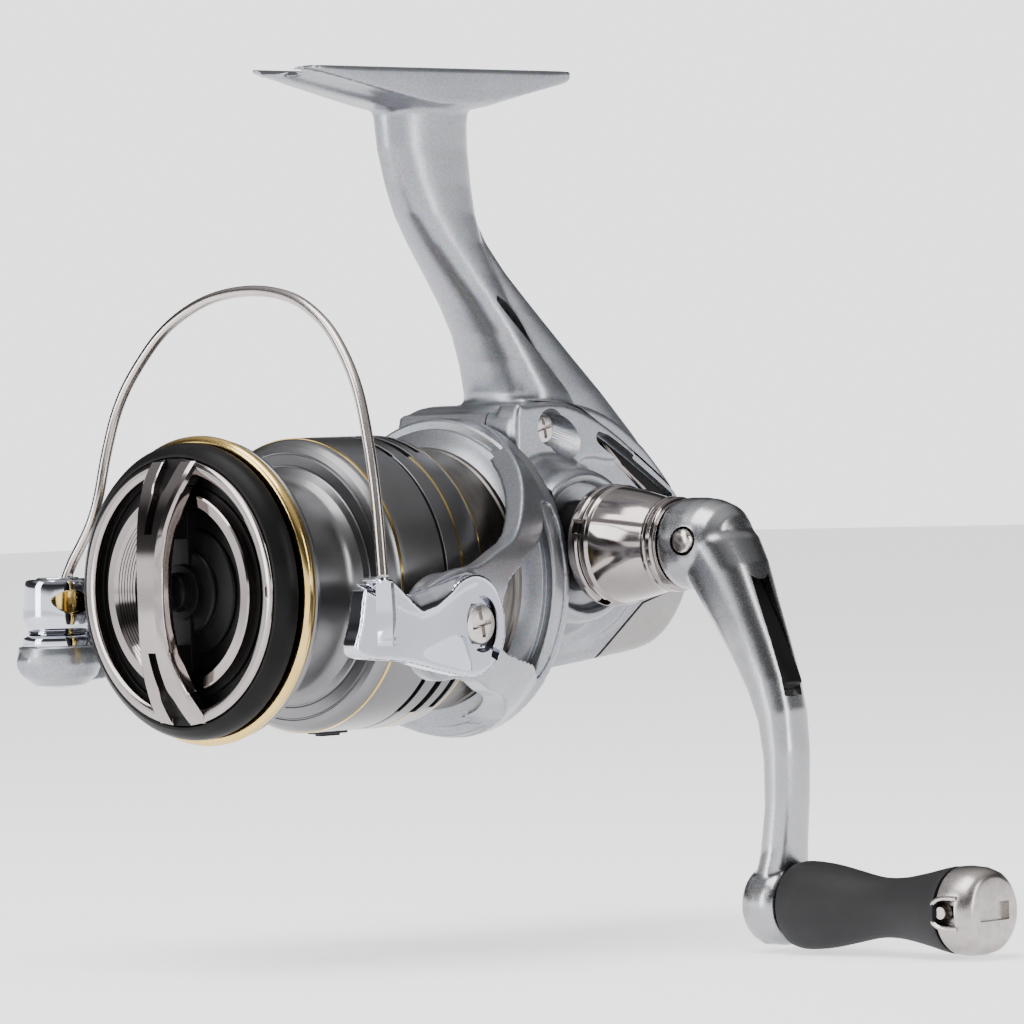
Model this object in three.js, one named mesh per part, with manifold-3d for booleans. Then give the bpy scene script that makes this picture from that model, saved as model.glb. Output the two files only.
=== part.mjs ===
// A spinning reel, size 2500, in millimetres, +Z up. The spool looks along -Y, the handle is on +X,
// and the foot that a rod holds is on top. Inside the group below, the main shaft lies on the line
// x = 0, z = 0 and y = 0 is the front of the spool lip. The group is then moved so that the origin
// is the middle of the flat strip on top of the foot.

import * as THREE from 'three';
import { mergeVertices } from 'three/addons/utils/BufferGeometryUtils.js';
import Module from 'manifold-3d';

const wasm = await Module();
wasm.setup();

// ---- driving dimensions ------------------------------------------------------------------------

const GAP = 0.3;

const FOOT_TOP = 78.2;
const FOOT_MIDDLE = 47;
const FOOT_FRONT = 17;
const FOOT_REAR = 77.4;
const FOOT_HALF_WIDTH = 7;
const SADDLE_RISE = 1.5;

const LIP_R = 23.5;
const ARBOR_R = 16;
const SKIRT_R = 22.6;
const SKIRT_BORE_R = 21.3;
const SKIRT_REAR = 39;
const SHAFT_R = 1.5;
const SHAFT_HOLE_R = 1.7;
const WASHER_R = 13.2;

const NECK_R = 20.5;
const NECK_BORE_R = 18.5;
const DISC_R = 25;
const DISC_FRONT = 52;
const DISC_REAR = 55.5;
const ARM_TIP_R = 33;

const DRIVE_Y = 63.84;
const DRIVE_Z = 4.44;
const DRIVE_SHAFT_R = 2.5;
const HOUSING_HALF = 12.5;
const EDGE_ROUND = 2.6;
const SPLIT_X = 6.8;

const DRIVE_TEETH = 53;
const PINION_TEETH = 10;
const MESH_REACH = 14.4;
const PINION_PITCH_R = MESH_REACH * PINION_TEETH / DRIVE_TEETH;
const OSC_DRIVER_TEETH = 14;
const OSC_TEETH = 28;
const OSC_Y = 81.3;
const OSC_Z = 4.5;
const STROKE = 12;

const BAIL_Y = 23.2;
const BAIL_Z = -6.1;
const CAM_X = 33.9;
const ROLLER_X = -34;
const ROLLER_Y = 2.4;

const CRANK_LENGTH = 55;
const KNOB_Z = DRIVE_Z - CRANK_LENGTH;
const KNOB_START = 62.6;
const KNOB_END = 100.8;

const ROUND = 28;
const SMALL_ROUND = 14;
const WIDE_ROUND = 36;

// ---- finishes ----------------------------------------------------------------------------------

const FINISHES = {
  silver_paint: [0xa9abb8, 0.4, 0.6],
  grey_paint: [0x8a8987, 0.45, 0.5],
  spool_grey: [0x77777a, 0.35, 0.8],
  gold: [0xd9bd7a, 0.25, 0.9],
  chrome: [0xd8d8dc, 0.08, 1.0],
  smoked_chrome: [0x8d8580, 0.12, 1.0],
  warm_steel: [0xa39a94, 0.3, 1.0],
  steel: [0x9c9ca0, 0.3, 1.0],
  brass: [0xc2a25a, 0.3, 1.0],
  black_plastic: [0x17171a, 0.45, 0.0],
  rubber: [0x1f1f22, 0.75, 0.0],
  felt: [0x3a3a38, 0.95, 0.0],
};

const reel = new THREE.Group();

function piece(name, solid, finishName) {
  const [color, roughness, metalness] = FINISHES[finishName];
  const material = new THREE.MeshStandardMaterial({ color, roughness, metalness });
  const cut = solid.getMesh();
  const geometry = new THREE.BufferGeometry();
  geometry.setAttribute('position', new THREE.BufferAttribute(cut.vertProperties, 3));
  geometry.setIndex(new THREE.BufferAttribute(cut.triVerts, 1));
  const mesh = new THREE.Mesh(geometry, material);
  mesh.name = name;
  reel.add(mesh);
}

// ---- ways of making a solid --------------------------------------------------------------------

function toSolid(geometry) {
  const bare = geometry.clone();
  bare.deleteAttribute('normal');
  bare.deleteAttribute('uv');
  const welded = mergeVertices(bare, 1e-6);
  const at = welded.attributes.position;
  const kept = [];
  const a = new THREE.Vector3();
  const b = new THREE.Vector3();
  const c = new THREE.Vector3();
  let volume = 0;
  for (let i = 0; i < welded.index.count; i += 3) {
    const [p, q, r] = [0, 1, 2].map((k) => welded.index.getX(i + k));
    if (p === q || q === r || r === p) continue;
    kept.push([p, q, r]);
    a.fromBufferAttribute(at, p);
    b.fromBufferAttribute(at, q);
    c.fromBufferAttribute(at, r);
    volume += a.dot(b.cross(c));
  }
  const faces = volume < 0 ? kept.map(([p, q, r]) => [p, r, q]) : kept;
  return new wasm.Manifold(new wasm.Mesh({
    numProp: 3,
    vertProperties: Float32Array.from(at.array),
    triVerts: Uint32Array.from(faces.flat()),
  }));
}

function add(first, ...others) {
  return others.reduce((sum, other) => sum.add(other), first);
}

function cut(first, ...others) {
  return others.reduce((rest, other) => rest.subtract(other), first);
}

// A closed profile of [radius, place along the axis] turned about the axis.
function turnedGeometry(profile, segments) {
  const ring = profile.map(([r, along]) => new THREE.Vector2(r, along));
  ring.push(ring[0].clone());
  return new THREE.LatheGeometry(ring, segments);
}

function turned(profile, segments = ROUND) {
  return toSolid(turnedGeometry(profile, segments));
}

function turnedOnX(profile, y, z, segments = ROUND) {
  return toSolid(turnedGeometry(profile, segments).rotateZ(-Math.PI / 2).translate(0, y, z));
}

// Turned about an upright line, with the profile's places counted downwards from z = 0.
function turnedOnZ(profile, x, y, segments = ROUND) {
  return toSolid(turnedGeometry(profile, segments).rotateX(-Math.PI / 2).translate(x, y, 0));
}

// A ring or, with an inner radius of 0, a disc.
function ringProfile(inner, outer, low, high) {
  return [[inner, low], [outer, low], [outer, high], [inner, high]];
}

// An outline pushed along an axis: [y, z] points for x, [x, z] points for y, [x, y] points for z.
function extruded(outline, low, high, axis, bevel = 0) {
  const shape = new THREE.Shape(outline.map(([u, v]) => new THREE.Vector2(u, v)));
  const geometry = new THREE.ExtrudeGeometry(shape, {
    depth: high - low - 2 * bevel,
    bevelEnabled: bevel > 0,
    bevelThickness: bevel,
    bevelSize: bevel,
    bevelOffset: -bevel,
    bevelSegments: 1,
    curveSegments: 8,
  });
  const middle = (high + low) / 2;
  geometry.translate(0, 0, -(high - low - 2 * bevel) / 2);
  if (axis === 'x') {
    const toX = new THREE.Matrix4().makeBasis(
      new THREE.Vector3(0, 1, 0), new THREE.Vector3(0, 0, 1), new THREE.Vector3(1, 0, 0));
    geometry.applyMatrix4(toX).translate(middle, 0, 0);
  } else if (axis === 'y') {
    geometry.rotateX(Math.PI / 2).translate(0, middle, 0);
  } else {
    geometry.translate(0, 0, middle);
  }
  return toSolid(geometry);
}

function box(low, high) {
  const [sx, sy, sz] = high.map((value, k) => value - low[k]);
  const [cx, cy, cz] = high.map((value, k) => (value + low[k]) / 2);
  return toSolid(new THREE.BoxGeometry(sx, sy, sz).translate(cx, cy, cz));
}

// A round curve through the corners given, as points for an outline.
function rounded(corners, steps) {
  const curve = new THREE.CatmullRomCurve3(
    corners.map(([u, v]) => new THREE.Vector3(u, v, 0)), true, 'centripetal');
  return curve.getPoints(steps).slice(0, -1).map((point) => [point.x, point.y]);
}

function wire(points, radius, sides, steps) {
  const path = new THREE.CatmullRomCurve3(points.map((point) => new THREE.Vector3(...point)));
  const section = [];
  for (let k = 0; k < sides; k += 1) {
    const turn = 2 * Math.PI * k / sides;
    section.push(new THREE.Vector2(radius * Math.cos(turn), radius * Math.sin(turn)));
  }
  const shape = new THREE.Shape(section);
  return toSolid(new THREE.ExtrudeGeometry(shape, { steps, extrudePath: path, bevelEnabled: false }));
}

// A skin over stations { at: [x, y, z], u: half size, v: half size }. The two half sizes lie along
// the directions uAxis and vAxis, and a higher squareness gives fuller corners.
function lofted(stations, uAxis, vAxis, sides, squareness) {
  const steps = stations.length - 1;
  const geometry = new THREE.CylinderGeometry(1, 1, 1, sides, steps);
  const at = geometry.attributes.position;
  const spot = new THREE.Vector3();
  for (let i = 0; i < at.count; i += 1) {
    spot.fromBufferAttribute(at, i);
    const station = stations[Math.round((0.5 - spot.y) * steps)];
    const reach = Math.hypot(spot.x, spot.z);
    const power = 2 / squareness;
    const u = reach * Math.sign(spot.x) * Math.abs(spot.x / (reach || 1)) ** power * station.u;
    const v = reach * Math.sign(spot.z) * Math.abs(spot.z / (reach || 1)) ** power * station.v;
    spot.set(...station.at).addScaledVector(uAxis, u).addScaledVector(vAxis, v);
    at.setXYZ(i, spot.x, spot.y, spot.z);
  }
  return toSolid(geometry);
}

const X_AXIS = new THREE.Vector3(1, 0, 0);
const Y_AXIS = new THREE.Vector3(0, 1, 0);

// A spur gear outline about (0, 0), first tooth at the angle given.
function gearOutline(teeth, pitchR, tall, deep, width, firstTooth) {
  const pitch = 2 * Math.PI / teeth;
  const points = [];
  for (let k = 0; k < teeth; k += 1) {
    const middle = firstTooth + k * pitch;
    for (const [offset, r] of [[-0.75, -deep], [-0.42, tall], [0.42, tall], [0.75, -deep]]) {
      const turn = middle + offset * width * pitch;
      points.push([(pitchR + r) * Math.cos(turn), (pitchR + r) * Math.sin(turn)]);
    }
  }
  return points;
}

function moved(outline, u, v) {
  return outline.map(([a, b]) => [a + u, b + v]);
}

// A screw on an X axis, its head's face at headX and its point towards -direction.
function screwOnX(headX, direction, y, z, headR, headDeep, shankR, shankLong) {
  const screw = add(
    turnedOnX(ringProfile(0, headR, headX - direction * headDeep, headX), y, z, SMALL_ROUND),
    turnedOnX(ringProfile(0, shankR, headX - direction * (headDeep + shankLong),
      headX - direction * headDeep * 0.5), y, z, 12));
  const wing = headR * 0.62;
  const slot = headR * 0.14;
  const inner = headX - direction * headDeep * 0.6;
  const [low, high] = [Math.min(inner, headX + direction), Math.max(inner, headX + direction)];
  return cut(screw,
    box([low, y - wing, z - slot], [high, y + wing, z + slot]),
    box([low, y - slot, z - wing], [high, y + slot, z + wing]));
}

// ---- frame: foot, stem and the left half of the gear housing -----------------------------------

const STEM = [
  [FOOT_TOP - 1.6, 42.6, 62.6, 5.0],
  [67.3, 43.8, 60.6, 4.2],
  [61.5, 44.6, 60.8, 4.1],
  [57.0, 46.6, 61.4, 4.2],
  [52.4, 49.6, 63.6, 4.4],
  [47.6, 53.6, 68.0, 4.7],
  [42.6, 57.8, 73.4, 5.1],
  [38.2, 60.8, 78.2, 5.6],
  [33.6, 62.8, 83.2, 6.3],
  [28.6, 64.4, 88.8, 7.2],
  [22.0, 63.0, 95.6, 7.6],
  [15.0, 62.0, 102.6, 7.0],
  [9.0, 62.0, 104.2, 6.4],
];

// The stem, or the room that clears it by the margin given.
function stemSolid(margin) {
  return lofted(
    STEM.map(([z, front, rear, half]) => (
      { at: [0, (front + rear) / 2, z], u: half + margin, v: (rear - front) / 2 + margin })),
    X_AXIS, Y_AXIS, 16, 2.7);
}

const footSide = [
  [FOOT_FRONT, FOOT_TOP - 0.9], [FOOT_FRONT + 5, FOOT_TOP - 1.4], [30, FOOT_TOP - 2.6],
  [42, FOOT_TOP - 4.8], [64, FOOT_TOP - 4.8], [70, FOOT_TOP - 2.6], [FOOT_REAR - 1, FOOT_TOP - 1],
  [FOOT_REAR, FOOT_TOP + SADDLE_RISE], [FOOT_FRONT, FOOT_TOP + SADDLE_RISE],
];
const footPlan = rounded([
  [-4.6, FOOT_FRONT], [-FOOT_HALF_WIDTH, FOOT_FRONT + 2.6], [-FOOT_HALF_WIDTH, FOOT_REAR - 2.6],
  [-4.6, FOOT_REAR], [4.6, FOOT_REAR], [FOOT_HALF_WIDTH, FOOT_REAR - 2.6],
  [FOOT_HALF_WIDTH, FOOT_FRONT + 2.6], [4.6, FOOT_FRONT],
], 32);
const saddle = [
  [-FOOT_HALF_WIDTH - 1, FOOT_TOP + SADDLE_RISE + 0.4], [-4.2, FOOT_TOP + 0.65], [-1.2, FOOT_TOP],
  [1.2, FOOT_TOP], [4.2, FOOT_TOP + 0.65], [FOOT_HALF_WIDTH + 1, FOOT_TOP + SADDLE_RISE + 0.4],
  [FOOT_HALF_WIDTH + 1, FOOT_TOP + 5], [-FOOT_HALF_WIDTH - 1, FOOT_TOP + 5],
];
const foot = cut(
  extruded(footPlan, FOOT_TOP - 9, FOOT_TOP + 3, 'z')
    .intersect(extruded(footSide, -FOOT_HALF_WIDTH - 1, FOOT_HALF_WIDTH + 1, 'x')),
  extruded(saddle, FOOT_FRONT - 1, FOOT_REAR + 1, 'y'));

const HOUSING = rounded([
  [56.3, 21], [59.5, 26], [68.5, 27], [77.6, 25.2], [85.6, 20.8], [92.4, 14.6], [97.2, 8],
  [98.4, 2], [96, -4.4], [92, -9.3], [86.5, -12.2], [76, -13.6], [66, -14.6], [58.5, -15.4],
  [56.3, -13],
], 38);
const CAVITY = rounded([
  [58, 18], [60.5, 23.4], [68, 24.4], [76.4, 22.8], [83.8, 18.8], [90.2, 13], [94.8, 7], [95.9, 2],
  [93.6, -3.4], [90, -7.2], [85.6, -9.6], [76, -11.4], [66, -12.4], [60, -12.8], [58, -10],
], 28);

const NOSE_R = 17.8;
const NOSE_ROOT_R = 21.3;
const nose = turned([
  [0, 43], [NOSE_R, 43], [NOSE_R, 50.4], [NOSE_ROOT_R, 50.6], [NOSE_ROOT_R, 60], [0, 60],
]);
const noseBore = turned([
  [0, 45], [16.2, 45], [16.2, 50.6], [20.3, 51.6], [20.3, 61], [0, 61],
]);
const rotorRoom = cut(
  turned(ringProfile(0, 40, 30, DISC_REAR + 0.8)),
  turned(ringProfile(0, NOSE_ROOT_R + 0.01, 29, DISC_REAR + 1)));
const cavity = extruded(CAVITY, -HOUSING_HALF + 2, HOUSING_HALF - 2, 'x');
const leftBoss = turnedOnX([[0, -HOUSING_HALF - 5], [9, -HOUSING_HALF - 5], [11.5, -HOUSING_HALF],
  [11.5, -9], [0, -9]], DRIVE_Y, DRIVE_Z);
const pinionSeat = turned(ringProfile(0, 7.3, 40, 46));
const sliderRoom = box([-4.2, 82, 2], [-1.6, 92.4, 13.6]);
const driveHole = turnedOnX(ringProfile(0, 6.8, -30, 30), DRIVE_Y, DRIVE_Z, SMALL_ROUND);

// The seam between the two housing halves and the rear protector.
const PROTECTOR = [
  [74.4, -18], [74.4, -13.9], [85.7, -5.6], [92.4, -3.8], [99, -3.6], [108, -3.6], [108, -18],
];
const PROTECTOR_ROOM = PROTECTOR.map(([y, z]) => [y < 80 ? y - GAP : y, z > -10 ? z + GAP : z]);
const protectorRoom = extruded(PROTECTOR_ROOM, -20, 20, 'x');

const housing = extruded(HOUSING, -HOUSING_HALF, HOUSING_HALF, 'x', EDGE_ROUND);
const leftOfSplit = box([-30, 30, -30], [SPLIT_X, 120, 90]);
const rightOfSplit = box([SPLIT_X + GAP, 30, -30], [30, 120, 30]);

const INLAY = [[60.6, 44.6], [64.4, 42.0], [79.6, 26.6], [79.2, 25.2], [75.6, 27.4], [62, 41]];
const INLAY_ROOM = [[60, 45.4], [64.8, 42.3], [80.4, 26.5], [79.6, 24.6], [75.3, 27], [61.4, 40.9]];
const inlayRooms = [-1, 1].map((side) => extruded(INLAY_ROOM,
  side > 0 ? 3.4 : -12, side > 0 ? 12 : -3.4, 'x'));

const COVER_SCREWS = [[64.5, 23.0], [82.8, 1.5], [60.4, -10.2]];
const frameHalf = housing.intersect(leftOfSplit);
const coverNotch = box([SPLIT_X + GAP, 30, -30], [30, 120, 27.6]);
const frame = cut(
  add(cut(add(frameHalf, leftBoss, nose, foot, stemSolid(0)), coverNotch.subtract(
    turned(ringProfile(0, NOSE_ROOT_R + 0.2, 40, 56.6)))), foot),
  cavity, sliderRoom, noseBore, rotorRoom, pinionSeat, driveHole, protectorRoom, ...inlayRooms,
  ...COVER_SCREWS.map(([y, z]) => turnedOnX(ringProfile(0, 1.1, 0, 30), y, z, 12)));
piece('frame', frame, 'silver_paint');

// ---- side cover, protector, inlays, cover screws -----------------------------------------------

const BOSS_OUT = 21.4;
const boss = turnedOnX([[0, 8], [14.8, 8], [14.8, HOUSING_HALF - 0.6], [12, 17.6], [11.2, BOSS_OUT],
  [0, BOSS_OUT]], DRIVE_Y, DRIVE_Z);
const bossBore = turnedOnX([[0, 0], [8.4, 0], [8.4, 18.2], [6.4, 18.2], [6.4, 19.6], [10, 19.6],
  [10, 30], [0, 30]], DRIVE_Y, DRIVE_Z);
const recesses = COVER_SCREWS.map(([y, z]) => turnedOnX(ringProfile(0, 3.2, 10.4, 30), y, z, SMALL_ROUND));
const screwHoles = COVER_SCREWS.map(([y, z]) => turnedOnX(ringProfile(0, 1.1, 0, 30), y, z, 12));
const coverPocket = extruded([[74.6, 20.6], [77.8, 21], [93, 11.6], [91.4, 9.6], [86, 11.4]], 11, 20, 'x');
const cover = cut(
  add(housing.intersect(rightOfSplit), boss),
  cavity, noseBore, rotorRoom, bossBore, protectorRoom, coverPocket,
  turned(ringProfile(0, NOSE_ROOT_R + 0.6, 40, 61)),
  box([0, 40, 26.9], [30, 110, 40]),
  stemSolid(GAP),
  ...recesses, ...screwHoles);
piece('side_cover', cover, 'silver_paint');

const protector = cut(
  housing.intersect(extruded(PROTECTOR, -20, 20, 'x')),
  cavity);
piece('rear_protector', protector, 'grey_paint');

for (const side of [-1, 1]) {
  const name = side > 0 ? 'stem_inlay_right' : 'stem_inlay_left';
  const low = side > 0 ? 3.7 : -5.0;
  piece(name, extruded(INLAY, low, low + 1.3, 'x'), 'black_plastic');
}
piece('cover_trim', extruded(
  [[75.2, 20.3], [77.6, 20.6], [92.4, 11.6], [91.2, 10.1], [86.2, 11.8]], 11.3, 12.2, 'x'),
'smoked_chrome');
COVER_SCREWS.forEach(([y, z], k) => {
  piece(`cover_screw_${k + 1}`, screwOnX(12.2, 1, y, z, 2.6, 1.4, 0.8, 4.5), 'steel');
});
piece('left_side_cap', turnedOnX([[0, -19.2], [5.6, -19.2], [6.3, -18.4], [6.3, -14], [4.6, -14],
  [4.6, -17.4], [0, -17.4]], DRIVE_Y, DRIVE_Z), 'black_plastic');

// A ball bearing's section: its two rings with the dip of the shield between them on each face.
function bearing(inner, outer, low, high) {
  const middle = (inner + outer) / 2;
  const dip = 0.3;
  return [[inner, low], [middle, low + dip], [outer, low], [outer, high], [middle, high - dip],
    [inner, high]];
}
piece('handle_bearing_right', turnedOnX(bearing(4.4, 8.1, 14.4, 17.9), DRIVE_Y, DRIVE_Z, 18), 'steel');
piece('handle_bearing_left', turnedOnX(bearing(3.1, 6.5, -13.4, -10.4), DRIVE_Y, DRIVE_Z, 18), 'steel');
piece('pinion_bearing', turned(bearing(3.5, 7, 41.4, 44.6), 18), 'steel');
piece('roller_clutch', turned([[4.2, 33], [9.5, 33], [9.5, 34.5], [14, 36], [14, 42.6], [7.6, 42.6],
  [7.6, 38], [4.2, 38]], 20), 'black_plastic');

// ---- crank: gear, shafts, collar, arm, pin -----------------------------------------------------

const driveDisc = turnedOnX([[DRIVE_SHAFT_R - 0.1, 3.45], [16.3, 3.45], [16.3, 4.8], [11, 5.4],
  [4, 6.4], [4, 18.6], [DRIVE_SHAFT_R - 0.1, 18.6]], DRIVE_Y, DRIVE_Z);
const driveShaft = turnedOnX(ringProfile(0, DRIVE_SHAFT_R, -13.8, 18.6), DRIVE_Y, DRIVE_Z, SMALL_ROUND);
let driveGear = add(driveDisc, driveShaft);
const TOOTH_HALF = 0.25;
for (let k = 0; k < DRIVE_TEETH; k += 1) {
  const tooth = new THREE.BoxGeometry(1.3, 2.4, 2 * TOOTH_HALF);
  tooth.translate(3.05, -MESH_REACH, -DRIVE_Z);
  tooth.rotateX(2 * Math.PI * k / DRIVE_TEETH);
  tooth.translate(0, DRIVE_Y, DRIVE_Z);
  driveGear = driveGear.add(toSolid(tooth));
}
const spreadY = OSC_Y - DRIVE_Y;
const spreadZ = OSC_Z - DRIVE_Z;
const OSC_SPAN = Math.hypot(spreadY, spreadZ);
const OSC_MODULE = 2 * OSC_SPAN / (OSC_DRIVER_TEETH + OSC_TEETH);
const towards = Math.atan2(spreadZ, spreadY);
const driver = extruded(moved(gearOutline(OSC_DRIVER_TEETH, OSC_MODULE * OSC_DRIVER_TEETH / 2,
  0.62, 0.95, 0.36, towards), DRIVE_Y, DRIVE_Z), -6.8, -4.8, 'x');
driveGear = driveGear.add(driver);
piece('drive_gear', driveGear, 'brass');

piece('handle_shank', turnedOnX(ringProfile(0, 3.4, 19.2, 40), DRIVE_Y, DRIVE_Z, 6), 'steel');
piece('handle_collar', turnedOnX([[3.9, 25.6], [9.0, 25.6], [9.5, 26], [9.5, 27.4], [9.1, 27.8],
  [9.1, 28.6], [9.0, 30], [7.2, 37.6], [6.9, 38.8], [7.3, 39.1], [7.3, 40.0], [6.7, 40.3],
  [6.7, 41.4], [3.9, 41.4]], DRIVE_Y, DRIVE_Z), 'smoked_chrome');
piece('collar_seal', turnedOnX(ringProfile(4.3, 7.2, 20.2, 25.2), DRIVE_Y, DRIVE_Z), 'black_plastic');

const ARM = [
  [45.2, 7.4, 3.4, 6.2], [47.5, 4.4, 5.3, 6.4], [50.6, 0.6, 5.4, 6.0], [54.2, -6.6, 4.5, 5.1],
  [58.0, -14.2, 3.7, 4.4], [60.4, -20.4, 3.1, 4.0], [61.2, -27, 2.7, 3.8], [60.8, -35, 2.6, 3.7],
  [59.8, -42.6, 2.8, 3.9], [58.9, -47.2, 3.2, 4.6], [58.6, -51, 3.7, 5.5], [58.6, -55.2, 3.0, 3.9],
];
const arm = lofted(ARM.map(([x, z, u, v]) => ({ at: [x, DRIVE_Y, z], u, v })), X_AXIS, Y_AXIS, 14, 2.8);
const hub = turnedOnX([[0, 41.8], [6.9, 41.8], [7.1, 44], [6.9, 49], [5.6, 51.8], [3, 53.2], [0, 53.4]],
  DRIVE_Y, DRIVE_Z, 18);
const knobBoss = turnedOnX([[0, 55.2], [4.6, 55.2], [6.0, 56.6], [6.2, 60.6], [5.6, 62.2], [0, 62.2]],
  DRIVE_Y, KNOB_Z, 18);
const ARM_SLOT = [[53.0, 3.2], [56.2, -3.6], [60.4, -11.8], [63.4, -18.6], [66, -16], [60, -1], [55, 5]];
const armSlot = extruded(ARM_SLOT, DRIVE_Y - 2.1, DRIVE_Y + 2.1, 'y');
const crossHole = turned(ringProfile(0, 2.3, DRIVE_Y - 9, DRIVE_Y + 9), SMALL_ROUND)
  .translate(47.2, 0, DRIVE_Z + 0.6);
const spindleHole = turnedOnX(ringProfile(0, 2.1, 54, 70), DRIVE_Y, KNOB_Z, SMALL_ROUND);
piece('handle_arm', cut(add(arm, hub, knobBoss), armSlot, crossHole, spindleHole), 'silver_paint');
piece('handle_cross_pin', turned(ringProfile(0, 1.9, DRIVE_Y - 7.1, DRIVE_Y + 7.1), SMALL_ROUND)
  .translate(47.2, 0, DRIVE_Z + 0.6), 'steel');
piece('arm_inlay', extruded([
  [54.0, 2.0], [56.5, -3.0], [60.7, -11.2], [62.6, -15.4], [63.1, -14.9], [61.2, -10.6], [57.0, -2.4],
  [54.5, 2.6]], DRIVE_Y - 1.8, DRIVE_Y + 1.8, 'y'), 'black_plastic');
piece('knob_spindle', turnedOnX([[0, 56], [1.8, 56], [1.8, 91.6], [1.2, 91.6], [1.2, 94.4], [0, 94.4]],
  DRIVE_Y, KNOB_Z, 16), 'steel');
piece('knob_screw', turnedOnX([[0, 94.8], [1.9, 94.8], [1.9, 96.4], [1.4, 97], [0, 97]],
  DRIVE_Y, KNOB_Z, 16), 'steel');

// ---- handle knob -------------------------------------------------------------------------------

piece('knob_grip', turnedOnX([[2.3, KNOB_START], [5.6, KNOB_START], [6.4, 63.8], [6.7, 68.5],
  [6.1, 72.5], [5.0, 77], [4.5, 81], [4.7, 85], [5.4, 89], [6.2, 92.6], [6.5, 94.2], [5.4, 94.3],
  [5.4, 90.6], [4.3, 90.6], [4.3, 86.8], [2.3, 86.8], [2.3, 70.4], [4.3, 70.4], [4.3, 66.4], [2.3, 66.4]],
DRIVE_Y, KNOB_Z, 18), 'rubber');
const capShell = turnedOnX([[5.1, 91], [5.1, 94.6], [6.6, 94.6], [6.7, 96.6], [6.3, KNOB_END - 0.7],
  [5.4, KNOB_END], [0, KNOB_END], [0, KNOB_END - 1.2], [3.9, KNOB_END - 1.2], [3.9, 91]],
DRIVE_Y, KNOB_Z, 18);
const capWindow = box([96.2, DRIVE_Y - 9, KNOB_Z - 1.8], [98.8, DRIVE_Y - 3.2, KNOB_Z + 1.8]);
piece('knob_end_cap', cut(capShell, capWindow), 'warm_steel');
for (const [name, low] of [['knob_bearing_inner', 66.8], ['knob_bearing_outer', 87.2]]) {
  piece(name, turnedOnX(bearing(2.1, 4.0, low, low + 3), DRIVE_Y, KNOB_Z, SMALL_ROUND), 'steel');
}

// ---- rotor: pinion, cup, arms, nut, spring -----------------------------------------------------

const pinionTeeth = extruded(gearOutline(PINION_TEETH, PINION_PITCH_R, 0.42, 0.5, 0.34,
  Math.PI / PINION_TEETH), 45.4, 59.6, 'y');
const pinionSleeve = turned(ringProfile(0, 3.2, 27, 45.6), SMALL_ROUND);
const pinionBore = turned(ringProfile(0, SHAFT_HOLE_R, 20, 70), SMALL_ROUND);
piece('pinion_gear', cut(add(pinionTeeth, pinionSleeve), pinionBore), 'brass');

const cup = turned([[3.6, 29.2], [3.6, 27.2], [NECK_R - 2, 27.2], [NECK_R, 29], [NECK_R, 49.4],
  [21.4, 50.6], [23.4, 51.4], [23.4, DISC_FRONT], [DISC_R, DISC_FRONT], [DISC_R, DISC_REAR],
  [22.1, DISC_REAR], [22.1, 50.2], [NECK_BORE_R, 49.6], [NECK_BORE_R, 29.2]], WIDE_ROUND);
const armShell = turned([[31, 12], [ARM_TIP_R, 12], [ARM_TIP_R, 22], [32.2, 28], [30, 36], [28, 43],
  [26, 50], [25.2, 53], [25.2, DISC_REAR], [22.2, DISC_REAR], [22.2, 50.4], [24.6, 44], [26.6, 37],
  [28.8, 30], [31, 22]], WIDE_ROUND);
const ARM_SIDE = [
  ...rounded([[56, 22.4], [53.2, 21.2], [47, 13.3], [40.6, 6.8], [34, 4.6], [28, 3.4], [21, 3.2],
    [14.6, -0.6], [13, -6.1], [14.6, -11.6], [20, -14.8], [26, -15], [32, -15.8], [37, -17.2],
    [44, -19], [53.2, -22.8], [56, -24], [59, 0]], 38),
];
const ARM_WINDOW = rounded([[34.4, -5], [36.8, 0.4], [43, 3.6], [49.6, 7.2], [52, 11], [52, -15],
  [49.6, -14.2], [43, -12.4], [36.8, -10.6]], 20).map(([y, z]) => [Math.min(y, DISC_FRONT), z]);
const armSide = extruded(ARM_SIDE, -40, 40, 'x').subtract(extruded(ARM_WINDOW, -41, 41, 'x'))
  .intersect(box([-40, 10, -40], [40, DISC_REAR, 40]));
const arms = armShell.intersect(armSide);
const tipBosses = [-1, 1].map((side) => turnedOnX(
  ringProfile(0, 7.8, side > 0 ? 27.4 : -33.4, side > 0 ? 33.4 : -27.4), BAIL_Y, BAIL_Z, 20));
const pivotHole = turnedOnX(ringProfile(0, 1.7, -60, 60), BAIL_Y, BAIL_Z, 16);
const springRoom = turnedOnX(ringProfile(2.4, 5.9, 29.6, 40), BAIL_Y, BAIL_Z, SMALL_ROUND);
const rotor = cut(add(cup, arms, ...tipBosses), pivotHole, springRoom);
piece('rotor', rotor, 'silver_paint');

piece('rotor_nut', cut(
  turned([[0, 23.4], [5.2, 23.4], [5.2, 26.9], [0, 26.9]], 6), pinionBore), 'steel');
function coil(turns, radius, wireR, low, high, perTurn, toPoint) {
  const points = [];
  const count = turns * perTurn;
  for (let k = 0; k <= count; k += 1) {
    const turn = 2 * Math.PI * k / perTurn;
    const along = low + (high - low) * k / count;
    points.push(toPoint(radius * Math.cos(turn), radius * Math.sin(turn), along));
  }
  return wire(points, wireR, 5, count);
}
piece('bail_spring', coil(2.5, 4.2, 0.5, 30.4, 32.8, 10,
  (u, v, along) => [along, BAIL_Y + u, BAIL_Z + v]), 'steel');

// ---- bail: cam, roller lever, caps, wire, screws -----------------------------------------------

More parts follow.
